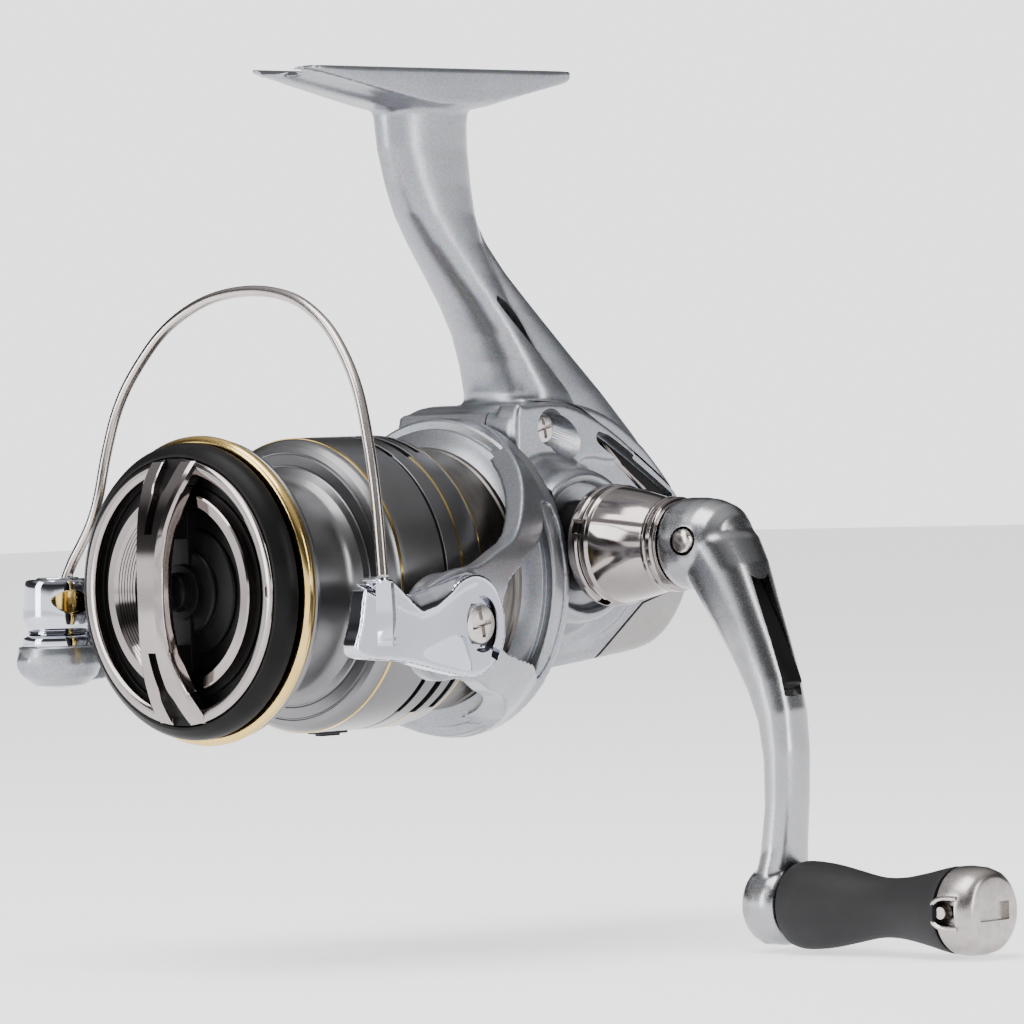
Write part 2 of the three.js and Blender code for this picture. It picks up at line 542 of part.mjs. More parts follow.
const CAM_SIDE = rounded([[-3.4, -8.8], [-1.6, -4.4], [4.4, -3.6], [7.4, -4.2], [10.9, -3.6],
  [15, -1.2], [20, 0.8], [24.6, 0.7], [28, -3.4], [28, -8.4], [25, -12.2], [20.6, -13.6],
  [14, -12.4], [6, -10.6], [-1.4, -10]], 34);
const camPlate = extruded(CAM_SIDE, CAM_X, CAM_X + 2.8, 'x', 0.7);
const socket = lofted([
  { at: [35.2, 3.5, 1.8], u: 1.3, v: 1.6 },
  { at: [35.3, 2.4, -3.4], u: 1.8, v: 2.7 },
  { at: [35.4, 0.9, -9.4], u: 2.0, v: 3.8 },
], X_AXIS, Y_AXIS, 12, 3);
const camRecess = turnedOnX(ringProfile(0, 3.6, CAM_X + 1.6, 50), BAIL_Y, BAIL_Z, SMALL_ROUND);
piece('bail_cam', cut(add(camPlate, socket), pivotHole, camRecess), 'chrome');

const LEVER_SIDE = rounded([[-4.2, -9], [-3.4, -12.6], [3, -14.6], [12, -13.8], [20.6, -13.8],
  [25.4, -12], [28, -8.2], [28, -3.6], [24.6, 0.4], [19.6, 0.4], [13, -5.2], [8, -8.6],
  [2, -8.6]], 30);
const leverPlate = extruded(LEVER_SIDE, -CAM_X - 2.8, -CAM_X, 'x', 0.7);
const rollerSeat = turnedOnZ([[0, 8.4], [5.6, 8.4], [6.4, 10], [6.2, 12.4], [4.4, 14.4], [0, 14.8]],
  ROLLER_X, ROLLER_Y, 20);
const leverRecess = turnedOnX(ringProfile(0, 3.6, -50, -CAM_X - 1.6), BAIL_Y, BAIL_Z, SMALL_ROUND);
const rollerPinHole = turnedOnZ(ringProfile(0, 1.6, 8, 12.4), ROLLER_X, ROLLER_Y, 12);
piece('roller_lever', cut(add(leverPlate, rollerSeat), pivotHole, leverRecess, rollerPinHole),
  'silver_paint');
const lineWindow = box([ROLLER_X + 2.6, ROLLER_Y - 3.9, -3.2], [ROLLER_X + 7, ROLLER_Y + 3.9, 0.2]);
piece('roller_cap', turnedOnZ([[0, -2.3], [4.2, -2.3], [5, -1.8], [5.35, -0.8], [5.35, 5.6],
  [5, 6.4], [5.7, 6.9], [5.7, 8.1], [1.6, 8.1], [1.6, 5.1], [4.7, 5.1], [4.7, -0.9], [0, -0.9]],
ROLLER_X, ROLLER_Y, 20).subtract(lineWindow), 'chrome');
piece('roller_pin', turnedOnZ(ringProfile(0, 1.3, -0.6, 12), ROLLER_X, ROLLER_Y, 12), 'steel');

const HOOP = [
  [-33.6, 4.6, 3.5], [-32.0, 5.6, 6.6], [-29.9, 6.1, 10.2], [-28.7, 7.0, 15.4], [-28.1, 8.2, 21.6],
  [-26.7, 9.5, 27.9], [-23.6, 10.6, 33.7], [-17.8, 11.8, 40], [-9.5, 12.6, 44.1],
  [0.2, 12.8, 45.3], [9.1, 12.6, 44], [16, 11.9, 40.6], [20.9, 11.1, 36.1], [25.4, 9.9, 29.8],
  [28.8, 8.4, 22], [31.8, 6.7, 13.1], [34.6, 4.7, 2.3],
];
piece('bail_wire', wire(HOOP, 0.85, 8, 40), 'warm_steel');
piece('bail_screw_right', screwOnX(36.9, 1, BAIL_Y, BAIL_Z, 3.2, 1.1, 1.4, 8), 'steel');
piece('bail_screw_left', screwOnX(-36.9, -1, BAIL_Y, BAIL_Z, 3.2, 1.1, 1.4, 8), 'steel');

piece('line_roller', turnedOnZ([[2.6, -0.5], [4.3, -0.5], [3.5, 0.8], [3.4, 3.2], [4.3, 4.7],
  [2.6, 4.7]], ROLLER_X, ROLLER_Y, 20), 'gold');
piece('roller_bush', turnedOnZ(ringProfile(1.6, 2.3, -0.3, 4.5), ROLLER_X, ROLLER_Y, SMALL_ROUND), 'brass');

// ---- main shaft and the stroke drive -----------------------------------------------------------

const SLIDER_Y = OSC_Y + STROKE / 2;
const SLIDER_HALF = 3.5;
piece('main_shaft', turned([[0, -4.2], [SHAFT_R, -4.2], [SHAFT_R, SLIDER_Y - SLIDER_HALF - GAP],
  [1.1, SLIDER_Y - SLIDER_HALF - GAP], [1.1, SLIDER_Y + SLIDER_HALF], [0, SLIDER_Y + SLIDER_HALF]],
SMALL_ROUND), 'steel');
const sliderPlate = box([-3.5, SLIDER_Y - SLIDER_HALF, OSC_Z - 8.3],
  [-2.2, SLIDER_Y + SLIDER_HALF, OSC_Z + 8.3]);
const sliderBlock = box([-3.5, SLIDER_Y - SLIDER_HALF, -3], [1.9, SLIDER_Y + SLIDER_HALF, 3]);
const sliderSlot = box([-4, SLIDER_Y - 1.3, OSC_Z - 7.3], [-2, SLIDER_Y + 1.3, OSC_Z + 7.3])
  .subtract(box([-2.9, SLIDER_Y - 5, -3.4], [0, SLIDER_Y + 5, 3.4]));
const sliderBore = turned(ringProfile(0, 1.4, 80, 100), SMALL_ROUND);
piece('stroke_slider', cut(add(sliderPlate, sliderBlock), sliderSlot, sliderBore), 'black_plastic');
const oscTurn = towards + Math.PI + Math.PI / OSC_TEETH;
const oscTeeth = extruded(moved(gearOutline(OSC_TEETH, OSC_MODULE * OSC_TEETH / 2, 0.62, 0.95, 0.36,
  oscTurn), OSC_Y, OSC_Z), -6.8, -4.8, 'x');
const oscPin = turnedOnX(ringProfile(0, 1.1, -5, -3.9), OSC_Y + STROKE / 2, OSC_Z, 12);
const oscAxle = turnedOnX(ringProfile(0, 2, -9.8, -5), OSC_Y, OSC_Z, 16);
piece('stroke_gear', add(oscTeeth, oscPin, oscAxle), 'brass');

// ---- spool, its lip and clip, and the drag stack -----------------------------------------------

const spoolTurned = turned([
  [14, 2.2], [20.9, 2.2], [22.9, 2.4], [23.0, 3.2], [20, 4], [ARBOR_R + 1, 4.8], [ARBOR_R, 6],
  [ARBOR_R, 16], [ARBOR_R + 1.3, 18.2], [18.4, 18.8], [21.2, 19.2], [22.5, 20.6], [SKIRT_R, 21.4],
  [SKIRT_R + 0.1, 30], [22.2, 30.1], [22.2, 30.9], [SKIRT_R + 0.1, 31], [SKIRT_R + 0.1, 38.2],
  [22.2, SKIRT_REAR], [SKIRT_BORE_R, SKIRT_REAR], [SKIRT_BORE_R, 21], [14.4, 20.2], [14.4, 13.6],
  [6.2, 13.6], [6.2, 20.4], [SHAFT_R + 0.15, 20.4], [SHAFT_R + 0.15, 11], [14, 11],
], WIDE_ROUND);
const clipRoom = box([-1.9, 23.4, -24], [1.9, 29.6, -21.9]);
piece('spool', cut(spoolTurned, clipRoom), 'spool_grey');
piece('spool_lip', turned([[21.4, 0.2], [22.8, 0.1], [LIP_R, 0.7], [LIP_R, 1.5], [22.9, 2.05],
  [21.4, 1.9]], WIDE_ROUND), 'gold');
piece('line_clip', cut(box([-1.6, 23.7, -23.4], [1.6, 29.3, -22.2]),
  turned(ringProfile(0, 22.4, 20, 33))), 'black_plastic');

piece('spool_support_washer', turned(ringProfile(1.8, 4.6, 20.9, 22.3), SMALL_ROUND), 'brass');

const STACK = [['drag_felt_1', 'felt'], ['drag_disc_1', 'steel'], ['drag_felt_2', 'felt'],
  ['drag_disc_2', 'steel'], ['drag_felt_3', 'felt']];
STACK.forEach(([name, finishName], k) => {
  const low = 9.6 - k * 1.2;
  piece(name, turned(ringProfile(2.2, WASHER_R, low, low + 0.9), 20), finishName);
});
piece('drag_retaining_ring', turned(ringProfile(12.4, 13.7, 3.4, 4.3), 20), 'steel');

// ---- drag knob ---------------------------------------------------------------------------------

const knobBase = turned([[0, -6.2], [2.6, -6.2], [5.4, -4.8], [5.4, -3.4], [9, -2.8], [9, -1.6],
  [13, -1.6], [13, -2.4], [20.4, -2.4], [20.6, -1.9], [22.6, -1.7], [22.6, -0.9], [21, -0.3],
  [12, -0.3], [11.4, 3], [4.2, 3], [4.2, -4.4], [0, -4.6]]);
piece('drag_knob', knobBase, 'black_plastic');
const breaks = [1, -1].map((side) => box([-2.6, -12, side > 0 ? 12 : -22], [2.6, 4, side > 0 ? 22 : -12]));
const outerRing = turned([[18.4, -2.7], [20.2, -2.7], [20.2, -4], [19.8, -4.4], [18.8, -4.4],
  [18.4, -4]]);
piece('drag_ring', outerRing, 'smoked_chrome');
const innerRing = cut(turned([[13.3, -2.7], [15.9, -2.7], [15.9, -4], [15.4, -4.6], [14, -4.6],
  [13.3, -3.8]]), ...breaks);
const [innerLeft, innerRight] = [box([-30, -9, -30], [0, 0, 30]), box([0, -9, -30], [30, 0, 30])]
  .map((half) => innerRing.intersect(half));
piece('drag_inner_ring_left', innerLeft, 'smoked_chrome');
piece('drag_inner_ring_right', innerRight, 'smoked_chrome');
const BAR_SIDE = rounded([[-4.7, 18], [-7.2, 14], [-9.6, 7.6], [-10.8, 0], [-9.6, -7.6], [-7.2, -14],
  [-4.7, -18], [-4.7, -14], [-6.6, -8.4], [-7.4, 0], [-6.6, 8.4], [-4.7, 14]], 36);
piece('drag_grip_bar', extruded(BAR_SIDE, -1.9, 1.9, 'x', 0.3), 'smoked_chrome');
piece('drag_nut', cut(turned([[0, -4.1], [3.4, -4.1], [3.4, -1.4], [0, -1.4]], 6),
  turned(ringProfile(0, SHAFT_HOLE_R, -8, 2), SMALL_ROUND)), 'brass');
piece('drag_spring', coil(4, 2.9, 0.32, -0.7, 3.0, 8, (u, v, along) => [u, along, v]), 'steel');

reel.position.set(0, -FOOT_MIDDLE, -FOOT_TOP);
const placed = new THREE.Group();
placed.add(reel);

export default placed;
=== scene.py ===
import math

import bmesh
import bpy
from mathutils import Matrix, Vector


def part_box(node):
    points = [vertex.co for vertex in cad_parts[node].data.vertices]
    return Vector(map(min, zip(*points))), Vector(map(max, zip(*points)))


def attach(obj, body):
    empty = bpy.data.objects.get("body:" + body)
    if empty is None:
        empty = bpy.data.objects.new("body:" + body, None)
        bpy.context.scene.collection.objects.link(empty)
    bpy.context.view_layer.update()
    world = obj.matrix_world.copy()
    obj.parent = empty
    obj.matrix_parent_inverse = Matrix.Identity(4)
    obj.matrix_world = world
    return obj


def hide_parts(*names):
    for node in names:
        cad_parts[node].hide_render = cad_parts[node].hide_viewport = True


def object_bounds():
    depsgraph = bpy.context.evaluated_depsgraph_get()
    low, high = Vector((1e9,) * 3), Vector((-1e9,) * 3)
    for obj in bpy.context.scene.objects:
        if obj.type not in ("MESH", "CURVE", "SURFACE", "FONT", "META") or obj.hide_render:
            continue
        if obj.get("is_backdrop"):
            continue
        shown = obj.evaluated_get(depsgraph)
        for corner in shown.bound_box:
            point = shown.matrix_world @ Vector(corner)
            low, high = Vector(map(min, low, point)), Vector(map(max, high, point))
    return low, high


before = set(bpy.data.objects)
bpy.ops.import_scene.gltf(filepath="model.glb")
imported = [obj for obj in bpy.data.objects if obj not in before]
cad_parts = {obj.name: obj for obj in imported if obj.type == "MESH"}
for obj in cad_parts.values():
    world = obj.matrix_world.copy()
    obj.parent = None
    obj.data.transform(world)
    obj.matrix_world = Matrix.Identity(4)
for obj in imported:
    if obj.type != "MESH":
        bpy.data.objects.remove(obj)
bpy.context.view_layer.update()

# ---- spool ---------------------------------------------------------------------------------------
# One piece of aluminium, turned and then anodised dark grey. A narrow arbor holds the line, and the
# skirt behind it covers the rotor's neck. Three short rows of slots lighten the skirt.

MM = 0.001
lip_low, lip_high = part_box("spool_lip")
SHAFT_FRONT = Vector(((lip_low.x + lip_high.x) / 2, lip_low.y - 0.1 * MM, (lip_low.z + lip_high.z) / 2))


def turned(profile, steps=144, axis=(0, 1, 0), centre=(0, 0, 0), angle=math.tau):
    """A lathe blank from (radius, place along the axis) corners, in millimetres."""
    blank = bmesh.new()
    along = Vector(axis)
    side = Vector((0, 0, 1)) if abs(along.z) < 0.5 else Vector((1, 0, 0))
    corners = [blank.verts.new(Vector(centre) + side * r + along * place) for r, place in profile]
    for pair in zip(corners, corners[1:] + corners[:1]):
        blank.edges.new(pair)
    full = abs(angle - math.tau) < 1e-6
    bmesh.ops.spin(
        blank, geom=blank.verts[:] + blank.edges[:], cent=centre, axis=along, angle=angle,
        steps=steps, use_merge=full, use_normal_flip=False)
    if not full:
        bmesh.ops.holes_fill(blank, edges=[e for e in blank.edges if e.is_boundary])
    bmesh.ops.remove_doubles(blank, verts=blank.verts, dist=0.001)
    bmesh.ops.recalc_face_normals(blank, faces=blank.faces)
    return blank


def together(*blanks):
    """Several blanks as one, without joining their skins."""
    whole = bmesh.new()
    for blank in blanks:
        loose = bpy.data.meshes.new("loose")
        blank.to_mesh(loose)
        blank.free()
        whole.from_mesh(loose)
        bpy.data.meshes.remove(loose)
    return whole


def on_bench(blank):
    """A blank set down as a plain object, for a tool that needs one."""
    mesh = bpy.data.meshes.new("bench")
    blank.to_mesh(mesh)
    blank.free()
    held = bpy.data.objects.new("bench", mesh)
    bpy.context.scene.collection.objects.link(held)
    return held


def picked_up(held):
    """The blank back from the bench, with its tools' work done."""
    bpy.context.view_layer.update()
    worked = held.evaluated_get(bpy.context.evaluated_depsgraph_get()).to_mesh()
    blank = bmesh.new()
    blank.from_mesh(worked)
    mesh = held.data
    bpy.data.objects.remove(held)
    bpy.data.meshes.remove(mesh)
    return blank


def machined(blank, tool, operation="DIFFERENCE"):
    """The blank with another solid cut from it, joined to it, or kept only where both are."""
    held = on_bench(blank)
    cutter = on_bench(tool)
    work = held.modifiers.new("work", "BOOLEAN")
    work.operation = operation
    work.solver = "EXACT"
    work.use_self = False
    work.object = cutter
    blank = picked_up(held)
    mesh = cutter.data
    bpy.data.objects.remove(cutter)
    bpy.data.meshes.remove(mesh)
    return blank


def fitted(name, blank, finish, body, stands_for=(), crease=30, edge=0.0):
    """A finished piece from a blank in millimetres, in its place on the reel."""
    bmesh.ops.remove_doubles(blank, verts=blank.verts, dist=0.002)
    bmesh.ops.scale(blank, vec=(MM, MM, MM), verts=blank.verts)
    bmesh.ops.translate(blank, vec=SHAFT_FRONT, verts=blank.verts)
    mesh = bpy.data.meshes.new(name)
    blank.to_mesh(mesh)
    blank.free()
    mesh.polygons.foreach_set("use_smooth", [True] * len(mesh.polygons))
    mesh.materials.append(finish)
    piece = bpy.data.objects.new(name, mesh)
    bpy.context.scene.collection.objects.link(piece)
    mesh.set_sharp_from_angle(angle=math.radians(crease))
    if edge:
        ease = piece.modifiers.new("edge", "BEVEL")
        ease.width = edge * MM
        ease.segments = 2
        ease.limit_method = "ANGLE"
        ease.angle_limit = math.radians(crease)
        ease.harden_normals = True
        mesh.set_sharp_from_angle(angle=math.radians(89))
    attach(piece, body)
    if stands_for:
        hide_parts(*stands_for)
    return piece


def metal_finish(name, light, dark, patch_mm, rough, rough_spread, grain_mm, grain_depth, metallic=1.0,
                 coat=0.0, flake=0.0, stretch=(1, 1, 1), shine=0.5):
    """A procedural finish: slow colour drift, uneven gloss and a fine grain, all in object space."""
    finish = bpy.data.materials.new(name)
    finish.use_nodes = True
    tree = finish.node_tree
    shader = tree.nodes["Principled BSDF"]
    shader.inputs["Metallic"].default_value = metallic
    shader.inputs["Coat Weight"].default_value = coat
    shader.inputs["Coat Roughness"].default_value = 0.12
    shader.inputs["Specular IOR Level"].default_value = shine
    place = tree.nodes.new("ShaderNodeTexCoord")
    turn = tree.nodes.new("ShaderNodeMapping")
    turn.inputs["Scale"].default_value = stretch
    tree.links.new(place.outputs["Object"], turn.inputs["Vector"])

    def noise(size_mm, detail):
        node = tree.nodes.new("ShaderNodeTexNoise")
        node.inputs["Scale"].default_value = 1.0 / (size_mm * MM)
        node.inputs["Detail"].default_value = detail
        tree.links.new(turn.outputs["Vector"], node.inputs["Vector"])
        return node

    drift = noise(patch_mm, 3.0)
    tint = tree.nodes.new("ShaderNodeValToRGB")
    tint.color_ramp.elements[0].position = 0.32
    tint.color_ramp.elements[0].color = (*dark, 1)
    tint.color_ramp.elements[1].position = 0.68
    tint.color_ramp.elements[1].color = (*light, 1)
    tree.links.new(drift.outputs["Fac"], tint.inputs["Fac"])
    colour = tint.outputs["Color"]
    grain = noise(grain_mm, 2.0)
    if flake:
        speck = tree.nodes.new("ShaderNodeTexVoronoi")
        speck.inputs["Scale"].default_value = 1.0 / (0.22 * MM)
        tree.links.new(place.outputs["Object"], speck.inputs["Vector"])
        sparkle = tree.nodes.new("ShaderNodeMix")
        sparkle.data_type = "RGBA"
        sparkle.blend_type = "OVERLAY"
        sparkle.inputs["Factor"].default_value = flake
        tree.links.new(colour, sparkle.inputs[6])
        tree.links.new(speck.outputs["Color"], sparkle.inputs[7])
        grey = tree.nodes.new("ShaderNodeHueSaturation")
        grey.inputs["Saturation"].default_value = 0.75
        tree.links.new(sparkle.outputs[2], grey.inputs["Color"])
        colour = grey.outputs["Color"]
    tree.links.new(colour, shader.inputs["Base Color"])
    gloss = tree.nodes.new("ShaderNodeMapRange")
    gloss.inputs["To Min"].default_value = rough - rough_spread
    gloss.inputs["To Max"].default_value = rough + rough_spread
    tree.links.new(grain.outputs["Fac"], gloss.inputs["Value"])
    tree.links.new(gloss.outputs["Result"], shader.inputs["Roughness"])
    relief = tree.nodes.new("ShaderNodeBump")
    relief.inputs["Strength"].default_value = 0.35
    relief.inputs["Distance"].default_value = grain_depth * MM
    tree.links.new(grain.outputs["Fac"], relief.inputs["Height"])
    tree.links.new(relief.outputs["Normal"], shader.inputs["Normal"])
    return finish


spool_grey = metal_finish(
    "spool_grey", (0.185, 0.184, 0.19), (0.155, 0.153, 0.157), 9, 0.30, 0.04, 0.3, 0.004, coat=0.25)
SKIRT_R = 22.7
skirt_blank = turned([
    (14.2, 2.5), (14.5, 2.2), (20.9, 2.2), (22.7, 2.35), (23.0, 2.6), (23.0, 3.1), (22.6, 3.5),
    (20.0, 4.0), (17.4, 4.7), (16.4, 5.3), (16.05, 6.2), (16.0, 7.2), (16.0, 15.6), (16.1, 16.6),
    (16.5, 17.5), (17.2, 18.2), (18.2, 18.55), (18.3, 18.7), (18.55, 18.72), (18.65, 18.6),
    (20.25, 18.85), (20.3, 19.15), (20.55, 19.15), (20.6, 18.95), (21.5, 19.2), (22.1, 19.7),
    (22.45, 20.4), (22.6, 21.2), (SKIRT_R, 22.4), (SKIRT_R, 30.3), (22.6, 30.35), (21.7, 30.4), (21.7, 30.85),
    (22.6, 30.9), (SKIRT_R, 30.95), (SKIRT_R, 38.2), (22.5, 38.8), (22.1, 39.0), (21.5, 39.0), (21.3, 38.6),
    (21.3, 21.4), (20.8, 20.8), (14.4, 20.2), (14.4, 13.6), (6.2, 13.6), (6.2, 20.4), (1.65, 20.4),
    (1.65, 11.0), (14.2, 11.0),
])
SLOT_SIDES = (12, 132, 252)
for row_y, half_turn, half_slot in ((30.62, 19, 0.55), (34.3, 20, 0.7), (37.3, 17, 0.55)):
    for side in SLOT_SIDES:
        slot_tool = turned(
            [(20.5, row_y - half_slot), (24, row_y - half_slot), (24, row_y + half_slot),
             (20.5, row_y + half_slot)], steps=24, angle=math.radians(2 * half_turn))
        bmesh.ops.rotate(
            slot_tool, verts=slot_tool.verts,
            matrix=Matrix.Rotation(math.radians(side - half_turn), 3, "Y"))
        skirt_blank = machined(skirt_blank, slot_tool)
fitted("spool_body", skirt_blank, spool_grey, "spool", ["spool"], crease=24, edge=0.07)

# ---- gold lip and gold cut lines -----------------------------------------------------------------
# The lip is a separate hard ring at the front of the spool, polished and anodised pale gold. The thin
# lines on the flange and skirt are cut through the grey and anodised the same gold.

pale_gold = metal_finish(
    "pale_gold", (0.72, 0.51, 0.19), (0.62, 0.43, 0.14), 6, 0.17, 0.03, 0.2, 0.003)
fitted("lip_ring", turned([
    (21.4, 0.35), (21.7, 0.15), (22.6, 0.05), (23.1, 0.2), (23.45, 0.6), (23.5, 1.1), (23.35, 1.6),
    (22.9, 2.05), (21.8, 2.0), (21.4, 1.7)], steps=180), pale_gold, "spool", ["spool_lip"],
    crease=50)
gold_lines = [
    turned([(r_in, low), (r_out, low), (r_out, high), (r_in, high)], steps=180)
    for r_in, r_out, low, high in ((22.2, 22.66, 20.85, 21.35), (21.6, 22.5, 38.62, 39.04))]
for side in SLOT_SIDES:
    arc = turned([(22.3, 34.1), (SKIRT_R + 0.04, 34.1), (SKIRT_R + 0.04, 34.5), (22.3, 34.5)], steps=60,
                 angle=math.radians(80))
    bmesh.ops.rotate(arc, verts=arc.verts, matrix=Matrix.Rotation(math.radians(side + 20), 3, "Y"))
    gold_lines.append(arc)
gold_lines = together(*gold_lines)
fitted("skirt_gold_lines", gold_lines, pale_gold, "spool", crease=40)

# ---- drag knob -----------------------------------------------------------------------------------
# The knob that presses the drag washers: a black moulded dish with a smoked chrome ring in two halves,
# two ridged crescents inside it, and an arched grip bar whose forked ends run into the ring.

satin_black = metal_finish(
    "satin_black", (0.0065, 0.006, 0.006), (0.0035, 0.0033, 0.0033), 5, 0.40, 0.05, 0.25, 0.010,
    metallic=0.0, shine=0.10)
smoked_chrome = metal_finish(
    "smoked_chrome", (0.335, 0.30, 0.29), (0.28, 0.25, 0.24), 8, 0.10, 0.03, 0.15, 0.002)


def plate(outline, low, high, axis="x", edge=0.0, segments=2):
    """A flat outline given thickness: (y, z) corners along x, or (x, z) corners along y."""
    blank = bmesh.new()
    if axis == "x":
        corners = [blank.verts.new((low, u, v)) for u, v in outline]
        push = Vector((high - low, 0, 0))
    else:
        corners = [blank.verts.new((u, low, v)) for u, v in outline]
        push = Vector((0, high - low, 0))
    face = bmesh.ops.contextual_create(blank, geom=corners)["faces"]
    raised = bmesh.ops.extrude_face_region(blank, geom=face, use_keep_orig=True)
    lifted = [part for part in raised["geom"] if isinstance(part, bmesh.types.BMVert)]
    bmesh.ops.translate(blank, vec=push, verts=lifted)
    bmesh.ops.recalc_face_normals(blank, faces=blank.faces)
    if edge:
        rims = [e for e in blank.edges if abs((e.verts[1].co - e.verts[0].co).dot(push)) < 1e-6]
        bmesh.ops.bevel(
            blank, geom=rims, offset=edge, segments=segments, affect="EDGES", profile=0.5, material=-1,
            clamp_overlap=True)
    return blank


def block(low, high):
    """A plain rectangular tool between two corners."""
    blank = bmesh.new()
    size = Vector(high) - Vector(low)
    bmesh.ops.create_cube(blank, size=1)
    bmesh.ops.scale(blank, vec=size, verts=blank.verts)
    bmesh.ops.translate(blank, vec=(Vector(high) + Vector(low)) / 2, verts=blank.verts)
    return blank


def skinned(rings):
    """A closed skin through rings of points, end faces included."""
    skin = bmesh.new()
    loops = []
    for ring in rings:
        corners = [skin.verts.new(place) for place in ring]
        loops.append([skin.edges.new(pair) for pair in zip(corners, corners[1:] + corners[:1])])
    for first, second in zip(loops, loops[1:]):
        bmesh.ops.bridge_loops(skin, edges=first + second)
    for end in (loops[0], loops[-1]):
        bmesh.ops.holes_fill(skin, edges=end)
    bmesh.ops.recalc_face_normals(skin, faces=skin.faces)
    return skin


dish = turned([
    (0, -6.1), (2.2, -6.1), (2.9, -5.7), (3.1, -3.2), (6.2, -3.0), (6.5, -2.7), (6.5, -2.1), (9.4, -1.9),
    (9.7, -1.6), (9.7, -1.1), (12.4, -1.0), (12.6, -0.9), (12.9, -2.6), (16.1, -2.7), (16.2, -2.1),
    (17.9, -2.1), (18.1, -2.7), (20.3, -2.7), (20.35, -4.0), (20.8, -4.0), (21.7, -3.4), (22.3, -2.5),
    (22.5, -1.6), (22.5, -0.9), (21.2, -0.3), (12, -0.3), (11.4, 3.0), (4.2, 3.0), (4.2, -4.2), (0, -4.4),
])
webs = together(*[
    block((-1.6, -3.4, low), (1.6, -0.8, high)) for low, high in ((2.6, 12.3), (-12.3, -2.6))])


def arch_front(z):
    """How far forward the grip bar's face stands at a height above or below the shaft."""
    return -4.45 - 6.5 * (1 - min(1, abs(z) / 20) ** 2.7)


def between(table, z):
    """A value read from (height, value) pairs by straight lines between them."""
    for (z_low, low), (z_high, high) in zip(table, table[1:]):
        if z <= z_high:
            return low + (high - low) * (z - z_low) / (z_high - z_low)
    return table[-1][1]


BAR_HALF = [(0, 1.75), (4, 1.8), (8.6, 2.2), (12, 2.8), (15, 3.4), (17, 3.9), (19.7, 4.2)]
SLOT_HALF = [(0, 0.8), (14.6, 0.85), (16.2, 1.45), (19.7, 1.9), (20.2, 1.9)]
SLOT_FOOT = 8.9
fillers = [
    skinned([[(-half, front, z), (half, front, z), (half, -2.6, z), (-half, -2.6, z)] for z, half, front in (
        (up * z, between(SLOT_HALF, z) + 0.4, min(arch_front(z) + 1.5, -3.9))
        for z in (8.0, 10, 12, 14, 15.2, 16.3, 17.5, 18.8, 20.2))])
    for up in (1, -1)]
fitted("drag_knob_dish", together(dish, webs, *fillers), satin_black, "drag_knob",
       ["drag_knob"], edge=0.12)

OUTER_RING = [(18.2, -2.6), (20.25, -2.6), (20.25, -4.0), (20.1, -4.35), (19.7, -4.5), (18.7, -4.5),
              (18.35, -4.35), (18.2, -4.0)]
GAP_HALF = 5.4
ring_halves = []
for side in (0, 180):
    half = turned(OUTER_RING, steps=90, angle=math.radians(180 - 2 * GAP_HALF))
    bmesh.ops.rotate(half, verts=half.verts, matrix=Matrix.Rotation(
        math.radians(GAP_HALF + side), 3, "Y"))
    ring_halves.append(half)
ring_halves[0] = machined(ring_halves[0], block((18.95, -5, -0.7), (19.45, -4.1, 0.7)))
fitted("drag_knob_ring", together(*ring_halves), smoked_chrome, "drag_knob",
       ["drag_ring"], edge=0.08)

RIDGES = 7
ridge_wall = [(13.5 - 0.09 * k - 0.11 * (k % 2), -4.25 + 0.2 * k) for k in range(2 * RIDGES)]
for name, side, node in (("right", 1, "drag_inner_ring_right"), ("left", -1, "drag_inner_ring_left")):
    funnel = turned([(15.35, -2.7), (15.35, -4.2), (15.15, -4.45), (13.8, -4.5)] + ridge_wall + [
        (12.3, -1.5), (13.4, -1.2)], steps=180)
    keep = block((3.4, -9, -30), (30, 0, 30)) if side > 0 else block((-30, -9, -30), (-2.3, 0, 30))
    fitted(f"ridged_crescent_{name}", machined(funnel, keep, "INTERSECT"), smoked_chrome, "drag_knob",
           [node], crease=22)


def bar_section(z, inner, outer):
    """One side's section of the bar at a height: a flat face with a broad polished chamfer outside."""
    front = arch_front(z)
    rear = max(front + 1.2, min(front + 3.0, -2.8))
    return [(inner, front + 0.15, z), (inner + 0.15, front, z), (outer, front, z),
            (outer + 0.55, front + 0.45, z), (outer + 0.85, front + 1.15, z), (outer + 0.8, rear, z),
            (inner, rear, z)]


bar_parts = []
middle_heights = [SLOT_FOOT * k / 12 for k in range(-12, 13)]
middle = []
for z in middle_heights:
    near = bar_section(z, 0, between(BAR_HALF, abs(z)))[2:-1]
    middle.append(near + [(-x, y, z) for x, y, z in reversed(near)])
bar_parts.append(skinned(middle))
for up in (1, -1):
    for side in (1, -1):
        prong = []
        for k in range(19):
            z = SLOT_FOOT + (19.7 - SLOT_FOOT) * k / 18
            section = bar_section(z, between(SLOT_HALF, z), between(BAR_HALF, z))
            prong.append([(side * x, y, up * z) for x, y, z in section])
        bar_parts.append(skinned(prong))
fitted("drag_knob_grip", together(*bar_parts), smoked_chrome, "drag_knob",
       ["drag_grip_bar"], crease=28)

# ---- line clip -----------------------------------------------------------------------------------
# A small sprung black plate on the skirt that pinches the end of the line.

clip = together(
    plate([(-1.7, -22.4), (1.7, -22.4), (1.5, -23.0), (-1.5, -23.0)], 23.6, 29.4, axis="y"),
    block((-0.9, 24.6, -23.35), (0.9, 28.4, -22.9)))
fitted("line_clip_plate", clip, satin_black, "spool", ["line_clip"], edge=0.15)

# ---- rotor ---------------------------------------------------------------------------------------
# One light casting that turns round the spool: a dark machined neck, a painted rim disc, and two arms
# that sweep forwards from the rim to the bail's pivots.

